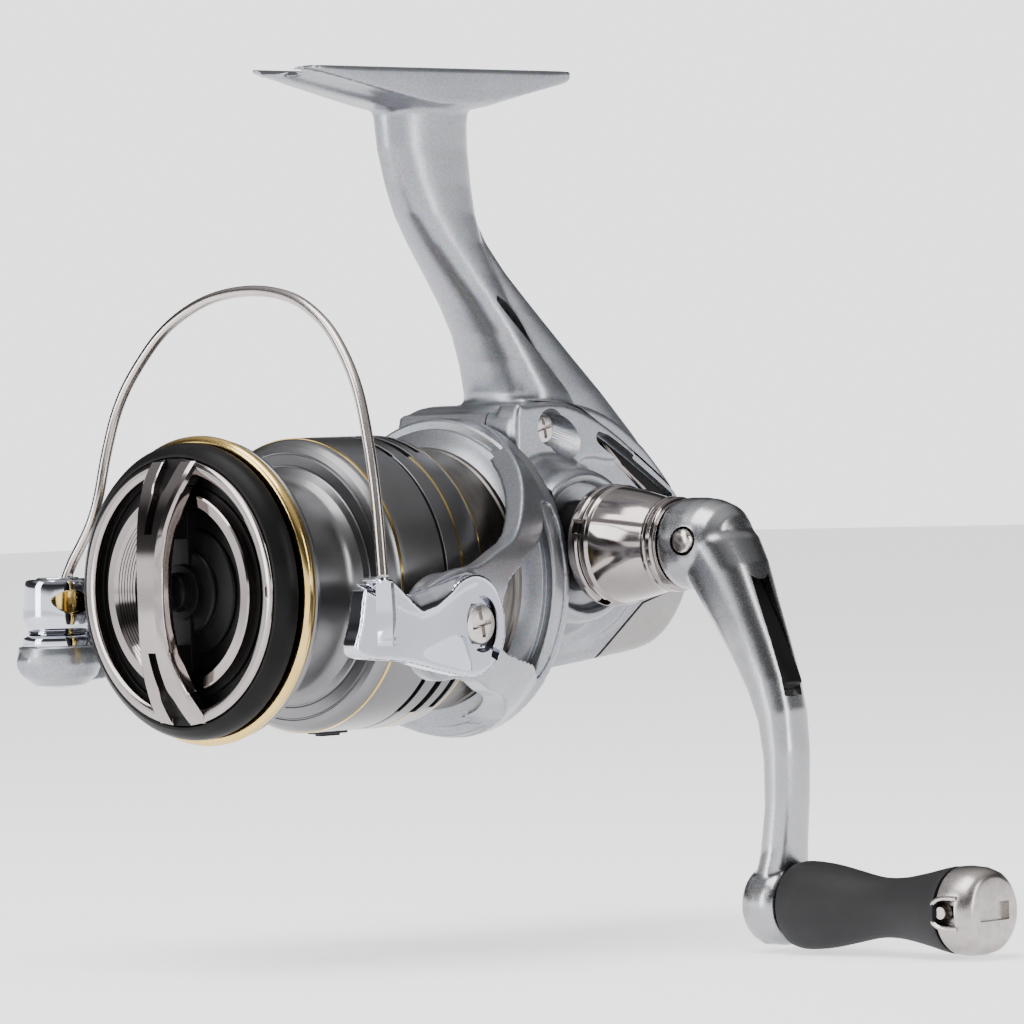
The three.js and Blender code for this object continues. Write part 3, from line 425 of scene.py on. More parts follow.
silver_paint = metal_finish(
    "silver_paint", (0.275, 0.285, 0.32), (0.23, 0.24, 0.272), 14, 0.33, 0.05, 0.4, 0.008, metallic=0.9,
    coat=0.25, flake=0.22)
dark_neck = metal_finish(
    "dark_neck", (0.16, 0.148, 0.137), (0.11, 0.10, 0.093), 5, 0.32, 0.06, 0.25, 0.01, stretch=(1, 6, 1))


def flowing(corners, steps, closed=True):
    """Points along a smooth curve that passes through the corners given."""
    places = [Vector(corner) for corner in corners]
    count = len(places)
    spans = count if closed else count - 1
    curve = []
    for k in range(spans):
        a, b, c, d = (
            places[(k + j) % count] if closed else places[min(max(k + j, 0), count - 1)]
            for j in (-1, 0, 1, 2))
        pieces = max(1, round(steps * (c - b).length / 10))
        for part in range(pieces):
            t = part / pieces
            curve.append(
                0.5 * (2 * b + (c - a) * t + (2 * a - 5 * b + 4 * c - d) * t * t
                       + (3 * b - a - 3 * c + d) * t ** 3))
    if not closed:
        curve.append(places[-1])
    return curve


def cast(blank, grain=0.4, smoothing=4):
    """Overlapping solids run together as one casting, with its edges and corners softened."""
    held = on_bench(blank)
    mould = held.modifiers.new("mould", "REMESH")
    mould.mode = "VOXEL"
    mould.voxel_size = grain
    ease = held.modifiers.new("ease", "SMOOTH")
    ease.factor = 0.5
    ease.iterations = smoothing
    return picked_up(held)


def crosswise(profile, y, z, steps=96, side=1):
    """A blank turned about a line across the reel, from (radius, distance from the middle) corners."""
    return turned(profile, steps=steps, axis=(side, 0, 0), centre=(0, y, z))


HINGE_Y = 23.2
HINGE_Z = -6.1
neck = turned([
    (3.6, 29.2), (3.6, 27.2), (19.2, 27.2), (20.3, 28.2), (20.5, 29.2), (20.5, 47.6), (20.2, 47.9),
    (20.2, 48.5), (20.5, 48.8), (20.6, 49.6), (18.5, 49.6), (18.5, 29.2)])
fitted("rotor_neck", neck, dark_neck, "rotor", crease=30, edge=0.1)

rim = turned([
    (20.3, 49.2), (21.6, 50.4), (22.9, 51.0), (23.3, 51.2), (23.35, 52.0), (24.6, 52.0), (24.95, 52.3),
    (25.0, 52.8), (25.0, 54.9), (24.8, 55.4), (24.4, 55.5), (22.1, 55.5), (22.1, 50.8), (18.8, 49.6)])
fitted("rotor_rim", rim, silver_paint, "rotor", ["rotor"], crease=30, edge=0.1)

ARM_SKIN = [(31, 12), (33.2, 12), (33.2, 22), (32.3, 28), (30.2, 36), (28.2, 43), (26.4, 50), (25.4, 53),
            (25.2, 55.4), (22.4, 55.4), (22.4, 50.4), (24.6, 44), (26.6, 37), (28.8, 30), (31, 22)]
ARM_EDGE = [(57, 23.5), (53.2, 21.2), (47, 13.3), (40.6, 6.8), (34, 4.4), (28, 2.6), (21, 1.8),
            (14.8, -1.2), (13.2, -6.1), (14.8, -11.2), (20, -14.4), (26, -14.4), (32, -15.2),
            (37, -16.7), (44, -18.4), (51, -22), (57, -25), (62, 0)]
ARM_GAP = [(34.8, -5.2), (36.6, -0.4), (42, 2.6), (48.6, 6.4), (52.2, 11.5), (54.0, 11), (54.0, -14),
           (52.2, -15.0), (48.6, -13.4), (42, -11.9), (36.6, -10.2)]
for side, name in ((1, "right"), (-1, "left")):
    skin = turned(ARM_SKIN, steps=120)
    shape = machined(
        plate(flowing(ARM_EDGE, 8), 0 if side > 0 else -40, 40 if side > 0 else 0),
        plate(flowing(ARM_GAP, 8), -41, 41))
    shape = machined(shape, block((-41, 5, -41), (41, 55.4, 41)), "INTERSECT")
    arm_blank = machined(skin, shape, "INTERSECT")
    tip = crosswise(
        [(2.0, 27.4), (7.6, 27.4), (7.8, 28.0), (7.8, 33.0), (7.4, 33.4), (2.0, 33.4)],
        HINGE_Y, HINGE_Z, steps=64, side=side)
    arm_cast = cast(together(arm_blank, tip), grain=0.32, smoothing=1)
    fitted(f"rotor_arm_{name}", arm_cast, silver_paint, "rotor", crease=60)

# ---- bail: cam, wire and screws ------------------------------------------------------------------
# The bail swings on a screw at the end of each rotor arm. On the handle side it ends in a polished cam
# whose raised socket holds the wire, a bent rod of stainless steel.

bright_chrome = metal_finish(
    "bright_chrome", (0.53, 0.54, 0.60), (0.47, 0.48, 0.54), 10, 0.055, 0.02, 0.3, 0.002)
warm_steel = metal_finish(
    "warm_steel", (0.50, 0.455, 0.43), (0.43, 0.39, 0.37), 4, 0.20, 0.02, 0.6, 0.0008)
nickel = metal_finish(
    "nickel", (0.56, 0.53, 0.50), (0.47, 0.44, 0.42), 2, 0.20, 0.05, 0.12, 0.006)


def loft(stations, sides=28):
    """A closed skin over rings, each (middle, half width, half height, squareness) with vector halves."""
    skin = bmesh.new()
    rings = []
    for middle, wide, tall, square in stations:
        ring = bmesh.ops.create_circle(skin, segments=sides, radius=1)["verts"]
        for corner in ring:
            u, v = corner.co.x, corner.co.y
            grow = (abs(u) ** square + abs(v) ** square) ** (-1 / square)
            corner.co = Vector(middle) + Vector(wide) * u * grow + Vector(tall) * v * grow
        rings.append(ring)

    def loop(ring):
        owned = set(ring)
        return [e for e in skin.edges if e.verts[0] in owned and e.verts[1] in owned]

    loops = [loop(ring) for ring in rings]
    for first, second in zip(loops, loops[1:]):
        bmesh.ops.bridge_loops(skin, edges=first + second)
    for end in (loops[0], loops[-1]):
        bmesh.ops.holes_fill(skin, edges=end)
    bmesh.ops.recalc_face_normals(skin, faces=skin.faces)
    return skin


def rod(path, radius, sides=16):
    """A round rod bent along a smooth path."""
    stations = []
    for k, place in enumerate(path):
        ahead = (path[min(k + 1, len(path) - 1)] - path[max(k - 1, 0)]).normalized()
        wide = ahead.cross(Vector((0, 1, 0.05))).normalized()
        stations.append((place, wide * radius, ahead.cross(wide) * radius, 2))
    return loft(stations, sides)


def cross_screw(x, side, y, z, radius, deep):
    """A pan-head screw facing along x, with a cross cut in its domed head."""
    head = crosswise([(0, x - deep), (radius - 0.1, x - deep), (radius, x - deep + 0.15), (radius, x - 0.45),
         (radius - 0.25, x - 0.15), (radius * 0.6, x + 0.02), (0, x + 0.1)], y, z, steps=48, side=side)
    for wide, tall in ((0.66, 0.13), (0.13, 0.66)):
        groove = block(
            (side * (x - 0.75) if side > 0 else side * (x + 1), y - wide * radius, z - tall * radius),
            (side * (x + 1) if side > 0 else side * (x - 0.75), y + wide * radius, z + tall * radius))
        bmesh.ops.rotate(
            groove, verts=groove.verts, cent=(0, y, z), matrix=Matrix.Rotation(math.radians(12), 3, "X"))
        head = machined(head, groove)
    return head


CAM_EDGE = [(-3.6, -8.6), (-2.4, -5.0), (-0.6, 1.2), (4.2, 1.5), (5.2, -0.6), (7.4, -3.4), (10.4, -4.1),
            (14.6, -2.4), (19.4, 0.9), (23.6, 1.2), (26.8, -1.2), (28.2, -5.4), (27.8, -9.4),
            (25.2, -12.6), (21.0, -13.9), (14.6, -12.8), (6.4, -11.0), (-1.4, -10.2)]
cam = plate(flowing(CAM_EDGE, 14), 33.9, 37.0, edge=0.7, segments=3)
saddle = skinned([
    [(37.0, y, low), (36.7, y, low + 0.35 * (high - low)), (35.7, y, low + 0.8 * (high - low)), (34.6, y, high),
     (33.9, y, high - 0.5), (33.9, y, low - 2.5), (36.6, y, low - 2.5)]
    for y, low, high in ((4.6, 0.6, 1.2), (6.2, -0.8, 0.2), (8.0, -2.4, -0.9), (10.3, -3.8, -1.0),
                         (13.6, -3.0, -0.3), (17.3, -1.0, 0.7), (20.0, 0.3, 1.5), (22.4, 0.9, 1.9))])
cam = cast(together(cam, saddle), grain=0.26, smoothing=3)
SCREW_ROOM = [(0, 35.6), (3.3, 35.6), (3.5, 37.6), (0, 37.6)]
screw_room = crosswise(SCREW_ROOM, HINGE_Y, HINGE_Z, steps=48)
bmesh.ops.scale(screw_room, vec=(1, 1, 1.25), verts=screw_room.verts,
                space=Matrix.Translation((0, -HINGE_Y, -HINGE_Z)))
panel = plate(flowing([
    (10.3, -9.7), (14.0, -8.3), (18.3, -7.3), (19.6, -8.0), (20.2, -10.2), (20.6, -12.9), (16.4, -12.2),
    (11.7, -11.0)], 9), 36.95, 39)
bmesh.ops.rotate(panel, verts=panel.verts, cent=(36.95, 15, -13.2), matrix=Matrix.Rotation(
    math.radians(-4.5), 3, "Y"))
notch = plate([(25.0, -9.4), (26.8, -10.2), (26.2, -11.8), (24.7, -11.0)], 36.2, 38)
for tool in (screw_room, panel, notch):
    cam = machined(cam, tool)
ridge = skinned([
    [(36.3, 2.7 - half, z), (37.0, 2.7 - half, z), (proud, 2.7 + 0.2, z), (37.0, 2.7 + half, z),
     (36.3, 2.7 + half, z)]
    for z, half, proud in ((-8.4, 2.0, 38.0), (-4.0, 2.1, 38.2), (0.9, 1.9, 38.0))])
ridge = machined(ridge, block((37.1, 0, -7.7), (39, 5.4, -7.2)))
cam = together(cam, ridge)
fitted("bail_cam_plate", cam, bright_chrome, "bail", ["bail_cam"], crease=38)

HOOP = [(-34.1, 4.2, 1.7), (-33.3, 5.0, 4.4), (-31.6, 5.8, 7.6), (-29.8, 6.1, 10.6), (-28.7, 6.8, 14.6),
        (-28.1, 8.1, 21.0), (-26.7, 9.5, 27.9), (-23.6, 10.6, 33.7), (-17.8, 11.8, 40), (-9.5, 12.6, 44.1),
        (0.2, 12.8, 45.3), (9.1, 12.6, 44), (16, 11.9, 40.6), (20.9, 11.1, 36.1), (25.4, 9.9, 29.8),
        (28.8, 8.4, 22), (31.8, 6.7, 13.1), (34.8, 4.5, 1.8)]
fitted("bail_wire_rod", rod(flowing(HOOP, 8, closed=False), 0.85), warm_steel, "bail",
       ["bail_wire"], crease=60)
fitted("bail_screw_head", cross_screw(36.9, 1, HINGE_Y, HINGE_Z, 3.1, 1.6), nickel, "bail",
       ["bail_screw_right"], crease=30, edge=0.06)
fitted("bail_screw_head_left", cross_screw(36.9, -1, HINGE_Y, HINGE_Z, 3.1, 1.6), nickel, "bail",
       ["bail_screw_left"], crease=30, edge=0.06)

# ---- line roller side ----------------------------------------------------------------------------
# The other end of the bail: a painted lever, a fat polished cap that the wire runs into, and the gold
# roller that the line runs over, in the gap between the two.

ROLLER = (-34.0, 2.4)
LEVER_EDGE = [(-3.8, -9.4), (-3.4, -12.6), (3, -14.4), (12, -13.8), (20.6, -13.8), (25.4, -12), (28, -8.2),
              (28, -3.6), (24.6, 0.4), (19.6, 0.4), (13, -5.2), (8, -8.4), (2, -8.6)]
lever = plate(flowing(LEVER_EDGE, 10), -36.8, -33.9, edge=0.6)


def upright_turned(profile, steps=72):
    """A blank turned about the roller's upright pin, from (radius, height) corners."""
    return turned(profile, steps=steps, axis=(0, 0, 1), centre=(ROLLER[0], ROLLER[1], 0))


bowl = upright_turned([
    (0, -9.4), (5.6, -9.4), (5.85, -8.15), (6.35, -8.3), (6.6, -9.6), (6.5, -11.2), (5.7, -13.0),
    (3.9, -14.4), (0, -14.9)])
lever = machined(
    cast(together(lever, bowl), grain=0.3, smoothing=3),
    crosswise(SCREW_ROOM, HINGE_Y, HINGE_Z, steps=48, side=-1))
lever = machined(lever, plate(flowing(
    [(9.4, -12.4), (18, -12.4), (21, -8), (20, -4.6), (14.6, -7.4), (9.6, -9.9)], 8), -35.2, -33))
fitted("roller_lever_casting", lever, silver_paint, "bail", ["roller_lever"], crease=50)
cap = upright_turned([
    (0, 2.15), (3.0, 2.15), (3.08, 2.3), (3.25, 2.3), (3.35, 2.15), (4.5, 2.1), (4.95, 1.9), (5.2, 1.45),
    (5.3, 0.8), (5.5, -3.6), (5.4, -4.8), (5.0, -5.6), (4.75, -5.85), (4.9, -6.05), (4.95, -6.3),
    (4.75, -6.5), (4.0, -6.5), (4.0, 1.0), (0, 1.0)], steps=96)
window = loft([
    ((ROLLER[0] + 1.5, ROLLER[1] + 0.3, -1.45), (0, 2.9, -0.25), (0, 0.2, 1.45), 1.7),
    ((ROLLER[0] + 4.4, ROLLER[1] + 0.3, -1.45), (0, 3.3, -0.3), (0, 0.2, 1.6), 1.7),
    ((ROLLER[0] + 6.4, ROLLER[1] + 0.3, -1.45), (0, 4.1, -0.4), (0, 0.3, 2.2), 1.7)], sides=48)
bmesh.ops.rotate(window, verts=window.verts, cent=(*ROLLER, 0), matrix=Matrix.Rotation(
    math.radians(-20), 3, "Z"))
fitted("roller_cap_body", machined(cap, window), bright_chrome, "bail", ["roller_cap"], crease=24)
band = upright_turned([
    (4.4, -6.4), (5.0, -6.7), (5.3, -6.8), (5.65, -7.0), (5.75, -7.3), (5.7, -8.6), (5.5, -9.0), (4.4, -9.0)],
    steps=96)
fitted("roller_band", band, bright_chrome, "bail", crease=30)
sheave = upright_turned([
    (2.6, 0.45), (3.75, 0.45), (3.85, 0.2), (3.5, -0.7), (3.25, -2.1), (3.5, -3.5), (3.85, -4.4),
    (3.75, -4.65), (2.6, -4.65)])
fitted("gold_sheave", sheave, pale_gold, "line_roller", ["line_roller"], crease=40)

# ---- frame ---------------------------------------------------------------------------------------
# The casting that everything hangs on: the foot for the rod, the stem with its thin rear fin, and the
# left half of the gear housing, painted as one.

foot_rings = []
for y, half, flank_z, keel_half, keel_z in (
        (20.0, 4.6, 79.1, 1.2, 78.3), (20.3, 5.6, 79.0, 1.4, 77.9), (21.2, 6.4, 78.9, 1.6, 77.5),
        (23.0, 6.9, 78.5, 1.8, 77.0), (27.0, 7.0, 77.8, 2.0, 76.2), (33.0, 7.0, 76.7, 2.4, 75.0),
        (39.0, 7.0, 75.6, 3.0, 73.9), (45.0, 7.0, 74.5, 3.4, 73.0), (49.0, 7.0, 74.0, 3.6, 72.8),
        (56.0, 7.0, 74.1, 4.6, 72.9), (62.0, 7.0, 74.6, 5.0, 73.8), (68.0, 7.0, 75.7, 5.2, 75.2),
        (74.0, 7.0, 76.9, 5.2, 76.5), (77.6, 6.9, 77.6, 5.0, 77.2), (79.4, 6.4, 78.0, 4.6, 77.7),
        (80.3, 5.6, 78.5, 4.0, 78.0), (80.6, 4.8, 79.0, 3.4, 78.4)):
    trough = 78.2 + 0.12 * (1 if 22 < y < 78 else 0)
    profile_half = [
        (0.0, trough), (1.2, trough), (3.4, 78.55), (half - 1.2, 79.35), (half - 0.35, 79.68),
        (half, 79.5), (half, (79.4 + flank_z) / 2), (half - 0.25, flank_z), (half - 1.6, flank_z - 0.2),
        (keel_half + 1.0, (flank_z + keel_z) / 2), (keel_half, keel_z + 0.2), (keel_half - 0.6, keel_z),
        (0.0, keel_z)]
    foot_rings.append(
        [(x, y, z) for x, z in profile_half] + [(-x, y, z) for x, z in reversed(profile_half[1:-1])])
foot_blank = skinned(foot_rings)


def upright_loft(stations, square):
    """A skin through level sections (height, front, rear, half width)."""
    return loft([
        ((0, (front + rear) / 2, z), (half, 0, 0), (0, (rear - front) / 2, 0), square)
        for z, front, rear, half in stations], sides=40)


HOUSING_EDGE = flowing([
    (56.3, 21), (59.5, 26), (68.5, 27), (77.6, 25.2), (85.6, 20.8), (92.4, 14.6), (97.2, 8), (98.4, 2),
    (96, -4.4), (92, -9.3), (86.5, -12.2), (76, -13.6), (66, -14.6), (58.5, -15.4), (56.3, -13)], 9)
CAVITY_EDGE = flowing([
    (58, 18), (60.5, 23.4), (68, 24.4), (76.4, 22.8), (83.8, 18.8), (90.2, 13), (94.8, 7), (95.9, 2),
    (93.6, -3.4), (90, -7.2), (85.6, -9.6), (76, -11.4), (66, -12.4), (60, -12.8), (58, -10)], 6)
DRIVE_Y = 63.84
DRIVE_Z = 4.44
SPLIT = 6.8
SEAM = 0.25

stem_blank = upright_loft([
    (76.6, 42.2, 62.0, 5.2), (74.2, 42.4, 60.8, 4.6), (71.0, 42.6, 60.3, 4.3), (67.3, 43.0, 60.3, 4.2),
    (61.5, 44.7, 60.7, 4.3), (57.0, 46.7, 61.2, 4.5), (52.4, 49.9, 62.2, 4.8), (47.6, 53.8, 64.4, 5.2),
    (42.6, 57.9, 67.0, 5.8), (38.2, 60.9, 70.0, 6.5), (33.6, 62.9, 73.6, 7.4), (28.6, 64.4, 78.0, 8.6),
    (24.0, 63.8, 81.0, 9.4), (20.0, 62.0, 82.0, 9.4)], 2.5)
fin_blank = upright_loft([
    (60.0, 55.0, 60.9, 2.5), (56.0, 56.0, 61.6, 2.9), (52.4, 57.0, 63.8, 3.0), (47.6, 59.0, 68.2, 3.1),
    (42.6, 62.0, 73.6, 3.3), (38.2, 65.0, 78.4, 3.6), (33.6, 68.0, 83.4, 3.9), (28.6, 71.0, 89.0, 4.3),
    (22.0, 75.0, 95.8, 4.7), (15.0, 80.0, 102.6, 4.9), (9.0, 84.0, 104.1, 4.6), (3.0, 84.0, 101.6, 4.2),
    (-3.0, 84.0, 97.4, 3.8)], 2.8)
cavity_tool = plate(CAVITY_EDGE, -10.5, 10.5)
shell_blank = plate(HOUSING_EDGE, -12.5, 12.5, edge=2.8, segments=4)
nose_blank = turned([
    (16.2, 45), (17.8, 45), (17.8, 50.4), (21.3, 50.8), (21.3, 58), (20.3, 58), (20.3, 51.6),
    (16.2, 50.6)], steps=96)
left_boss = crosswise(
    [(4.8, 10), (11.5, 10), (11.5, 12.5), (9.4, 17.2), (8.8, 17.5), (4.8, 17.5)],
    DRIVE_Y, DRIVE_Z, steps=72, side=-1)
frame_blank = machined(
    together(shell_blank, stem_blank, fin_blank, foot_blank), cavity_tool)
frame_blank = cast(together(frame_blank, nose_blank, left_boss), grain=0.42, smoothing=3)

cover_room = machined(
    plate(flowing([(50, -20), (50, 26.9), (57.5, 27.1), (69.5, 27.1), (79.0, 22.4), (89.0, 16.2),
                   (97.0, 10.4), (103, 5), (104, -20)], 3, closed=False), SPLIT, 30),
    turned([(0, 40), (21.5, 40), (21.5, 56.4), (0, 56.4)], steps=96))
SCREW_PLACES = []
for node in ("cover_screw_1", "cover_screw_2", "cover_screw_3"):
    low, high = ((corner - SHAFT_FRONT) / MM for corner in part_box(node))
    SCREW_PLACES.append(((low.y + high.y) / 2, (low.z + high.z) / 2))
PROTECTOR_EDGE = [(74.4, -18), (74.4, -13.7), (85.7, -5.5), (92.4, -3.7), (108, -3.5), (108, -18)]
grooves = []
for side in (1, -1):
    grooves.append(loft([
        ((side * 5.4, 52.6, 56.0), (0, 0.3, 0.2), (0.2, 0, 0), 2),
        ((side * 5.9, 54.0, 52.0), (0, 1.1, 0.6), (0.9, 0, 0), 2),
        ((side * 6.6, 57.6, 45.0), (0, 1.6, 0.9), (1.5, 0, 0), 2),
        ((side * 7.8, 61.8, 37.0), (0, 2.0, 1.0), (2.0, 0, 0), 2),
        ((side * 9.2, 64.6, 31.0), (0, 2.3, 1.0), (2.4, 0, 0), 2),
        ((side * 9.8, 65.4, 28.6), (0, 2.3, 0.4), (2.2, 0, 0), 2)], sides=24))
    slot_edge = flowing([(61.4, 43.4), (63.9, 42.9), (70.6, 36.6), (78.6, 28.6), (79.0, 26.9), (76.9, 27.9),
                         (69.6, 34.6)], 8)
    grooves.append(plate(slot_edge, side * 3.5 if side > 0 else -12, 12 if side > 0 else -3.5))
ROTOR_SWEEP = [(0, 30), (40, 30), (40, 56.3), (0, 56.3)]
rotor_room = machined(
    turned(ROTOR_SWEEP, steps=96),
    turned([(0, 29), (21.35, 29), (21.35, 57), (0, 57)], steps=96))
for tool in (cover_room, rotor_room, plate(PROTECTOR_EDGE, -20, 20), *grooves):
    frame_blank = machined(frame_blank, tool)
fitted("frame_casting", frame_blank, silver_paint, "body", ["frame"], crease=42)

# ---- black sheets for painted shade in the stem slots --------------------------------------------
# A thin black sheet lies at the floor of the slot between the stem and its fin, one on each side.
# It is painted shade, standing for the shadow inside the pocket.

SLOT_SHADE_EDGE = flowing([(61.9, 43.0), (63.7, 42.5), (70.4, 36.4), (78.2, 28.5), (78.4, 27.4), (76.9, 28.3),
                      (69.8, 34.8)], 8)
for side, name in ((1, "right"), (-1, "left")):
    # a black sheet at the slot's floor: painted shade for the dark inside of the pocket
    shade_sheet = plate(SLOT_SHADE_EDGE, 3.55 if side > 0 else -4.6, 4.6 if side > 0 else -3.55, edge=0.12)
    fitted(f"stem_slot_painted_shade_{name}", shade_sheet, satin_black, "body", [f"stem_inlay_{name}"],
           crease=30)

# ---- side cover ----------------------------------------------------------------------------------
# The right half of the housing, a painted casting with the boss for the drive shaft, held by three screws
# in deep oval recesses. A strip of smoked chrome lies in a black-lined slot behind the boss.

cover_outer = plate(HOUSING_EDGE, -12.5, 12.5, edge=2.8, segments=4)
shoulder = plate(flowing([
    (57.0, 25.6), (59.0, 26.6), (68.0, 26.6), (76.6, 23.4), (84.2, 18.4), (79.0, 17.6), (72.4, 18.0),
    (64.6, 14.6), (58.4, 10.4), (56.8, 13.4)], 9), 9.0, 13.7, edge=1.0, segments=3)
belly = plate(flowing([
    (57.0, -8.6), (61.0, -11.6), (70.0, -11.6), (78.4, -8.6), (85.0, -3.2), (91.0, 0.6), (94.4, 4.6),
    (90.0, 8.0), (80.0, 6.0), (60.0, -2.0)], 9), 9.0, 13.3, edge=1.0, segments=3)
boss = crosswise([
    (8.4, 9), (15.6, 9), (15.2, 12.4), (13.6, 14.6), (12.6, 17.4), (12.2, 19.6), (11.7, 20.9),
    (11.2, 21.4), (10.3, 21.4), (10.0, 21.0), (10.0, 19.6), (6.4, 19.6), (6.4, 18.2), (8.4, 18.2)],
    DRIVE_Y, DRIVE_Z)
cover_blank = cast(together(cover_outer, shoulder, belly, boss), grain=0.4, smoothing=3)
bore = crosswise([(0, 0), (8.4, 0), (8.4, 18.1), (6.3, 18.1), (6.3, 30), (0, 30)], DRIVE_Y, DRIVE_Z, steps=64)
for tool in (plate(CAVITY_EDGE, -10.6, 10.6), bore):
    cover_blank = machined(cover_blank, tool)
cover_keep = machined(
    plate(flowing([(50, -20), (50, 26.6), (57.5, 26.8), (69.4, 26.8), (78.8, 22.1), (88.8, 15.9),
                   (96.8, 10.1), (103, 4.7), (104, -20)], 3, closed=False), SPLIT + SEAM, 30),
    turned([(0, 30), (21.9, 30), (21.9, 57.4), (0, 57.4)], steps=96))
cover_keep = machined(cover_keep, plate([(y - 0.1, z + SEAM) for y, z in PROTECTOR_EDGE], -20, 30))
cover_blank = machined(cover_blank, cover_keep, "INTERSECT")
cover_cuts = [
    turned(ROTOR_SWEEP, steps=96),
    plate(flowing([(75.0, 20.6), (77.6, 21.6), (93.6, 11.8), (93.4, 10.6), (87.2, 11.9), (80.8, 16.8)], 9),
          11.2, 20)]
for y, z in SCREW_PLACES:
    cover_cuts.append(crosswise([(0, 10.9), (2.95, 10.9), (3.05, 14.2), (0, 14.2)], y, z, steps=48))
    cover_cuts.append(loft([
        ((11.1, y + 0.4, z - 0.2), (0, 2.2, -1.2), (0, 1.3, 2.4), 2),
        ((14.6, y + 3.0, z - 1.7), (0, 4.6, -2.6), (0, 1.5, 2.7), 2)], sides=40))
for tool in cover_cuts:
    cover_blank = machined(cover_blank, tool)
fitted("side_cover_casting", cover_blank, silver_paint, "body", ["side_cover"], crease=42)

lining = plate(flowing([(75.3, 20.5), (77.6, 21.2), (93.2, 11.8), (93.0, 10.9), (87.3, 12.2), (80.9, 17.1)], 9),
               11.25, 11.6)
fitted("trim_lining", lining, satin_black, "body", crease=30)
trim = plate(flowing([(75.6, 20.2), (77.2, 20.4), (79.2, 19.2), (83.0, 15.9), (87.4, 12.7), (85.0, 13.6),
                      (80.9, 17.4)], 9), 11.6, 12.6, edge=0.3, segments=3)
fitted("trim_strip", trim, smoked_chrome, "body", ["cover_trim"], crease=40)

for k, (y, z) in enumerate(SCREW_PLACES):
    fitted(f"cover_screw_head_{k + 1}", cross_screw(12.2, 1, y, z, 2.5, 1.4), nickel, "body",
           [f"cover_screw_{k + 1}"], crease=30, edge=0.05)

# ---- rear protector ------------------------------------------------------------------------------
# A replaceable corner piece in warm grey that takes the knocks when the reel is laid down.

grey_paint = metal_finish(
    "grey_paint", (0.335, 0.315, 0.305), (0.295, 0.28, 0.27), 12, 0.42, 0.05, 0.35, 0.01, metallic=0.5,
    coat=0.15, flake=0.1)
guard = cast(machined(plate(HOUSING_EDGE, -12.6, 12.6, edge=2.8, segments=4), plate(CAVITY_EDGE, -10.5, 10.5)),
             grain=0.42, smoothing=3)
guard = machined(guard, plate([(y + 0.15, z) for y, z in PROTECTOR_EDGE], -20, 20), "INTERSECT")
fitted("rear_guard", guard, grey_paint, "body", ["rear_protector"], crease=42)

# ---- cap over the far end of the drive axle ------------------------------------------------------
# A screwed black cap on the left boss, with a coin slot across it.

end_cap = crosswise([
    (0, 19.1), (4.6, 19.1), (5.6, 18.95), (6.2, 18.4), (6.3, 17.9), (6.3, 14.2), (4.6, 14.2), (4.6, 17.4),
    (0, 17.4)], DRIVE_Y, DRIVE_Z, side=-1)
end_cap = machined(end_cap, block((-19.6, DRIVE_Y - 4.2, DRIVE_Z - 0.6), (-18.4, DRIVE_Y + 4.2, DRIVE_Z + 0.6)))
fitted("left_cap", end_cap, satin_black, "body", ["left_side_cap"], edge=0.15)

# ---- drive collar and handle arm -----------------------------------------------------------------
# A turned and plated collar screws the arm onto the drive shaft. The arm is a forging that drops from the
# hub to the knob, hinged on a cross pin so that it can fold, with a black recess along its outer face.

COLLAR = [
    (3.9, 25.5), (8.7, 25.5), (9.35, 25.75), (9.5, 26.2), (9.5, 27.3), (9.3, 27.6), (8.95, 27.75),
    (8.95, 28.1), (9.3, 28.25), (9.35, 28.5), (9.35, 29.1), (9.2, 29.35), (9.0, 29.6), (8.8, 31.0),
    (8.2, 34.0), (7.5, 36.8), (7.05, 38.3), (6.95, 38.7), (7.25, 38.85), (7.35, 39.05), (7.35, 39.5),
    (7.2, 39.65), (7.0, 39.75), (7.2, 39.9), (7.35, 40.1), (7.3, 40.8), (7.0, 41.0), (6.6, 41.1),
    (6.6, 41.4), (3.9, 41.4)]
collar = crosswise(COLLAR, DRIVE_Y, DRIVE_Z, steps=128)
for k in range(4):
    notch = block((26.6, -1.1, 8.4), (28.9, 1.1, 10.2))
    bmesh.ops.rotate(notch, verts=notch.verts, cent=(0, 0, 0),
                     matrix=Matrix.Rotation(math.radians(70 + 90 * k), 3, "X"))
    bmesh.ops.translate(notch, vec=(0, DRIVE_Y, DRIVE_Z), verts=notch.verts)
    collar = machined(collar, notch)
fitted("drive_collar", collar, smoked_chrome, "crank", ["handle_collar"], crease=26,
       edge=0.05)
seal = crosswise([(4.3, 20.2), (7.1, 20.2), (7.1, 25.2), (4.3, 25.2)], DRIVE_Y, DRIVE_Z, steps=144)
fitted("collar_seal_ring", seal, satin_black, "crank", ["collar_seal"], edge=0.2)

satin_silver = metal_finish(
    "satin_silver", (0.33, 0.335, 0.35), (0.27, 0.275, 0.29), 16, 0.26, 0.05, 0.35, 0.006, coat=0.2,
    flake=0.08)
KNOB_Z = -50.56
FOLD_X = 47.2
FOLD_Z = DRIVE_Z + 0.6
arm = loft([
    ((x, DRIVE_Y, z), (u, 0, 0.35 * u), (0, v, 0), 2.7) for x, z, u, v in (
        (44.4, 8.6, 2.6, 5.6), (46.4, 6.4, 4.6, 6.4), (48.6, 3.6, 5.4, 6.4), (51.0, -0.4, 5.2, 5.9),
        (53.8, -6.0, 4.5, 5.2), (56.6, -11.6, 3.9, 4.6), (59.0, -17.0, 3.4, 4.2), (60.5, -22.0, 3.0, 4.0),
        (61.1, -28.0, 2.75, 3.85), (60.9, -35.0, 2.65, 3.8), (60.0, -42.0, 2.8, 4.0),
        (59.1, -46.6, 3.1, 4.7), (58.7, -50.6, 3.6, 5.5), (58.7, -54.4, 3.2, 4.6),
        (58.8, -56.2, 1.8, 2.6))], sides=36)
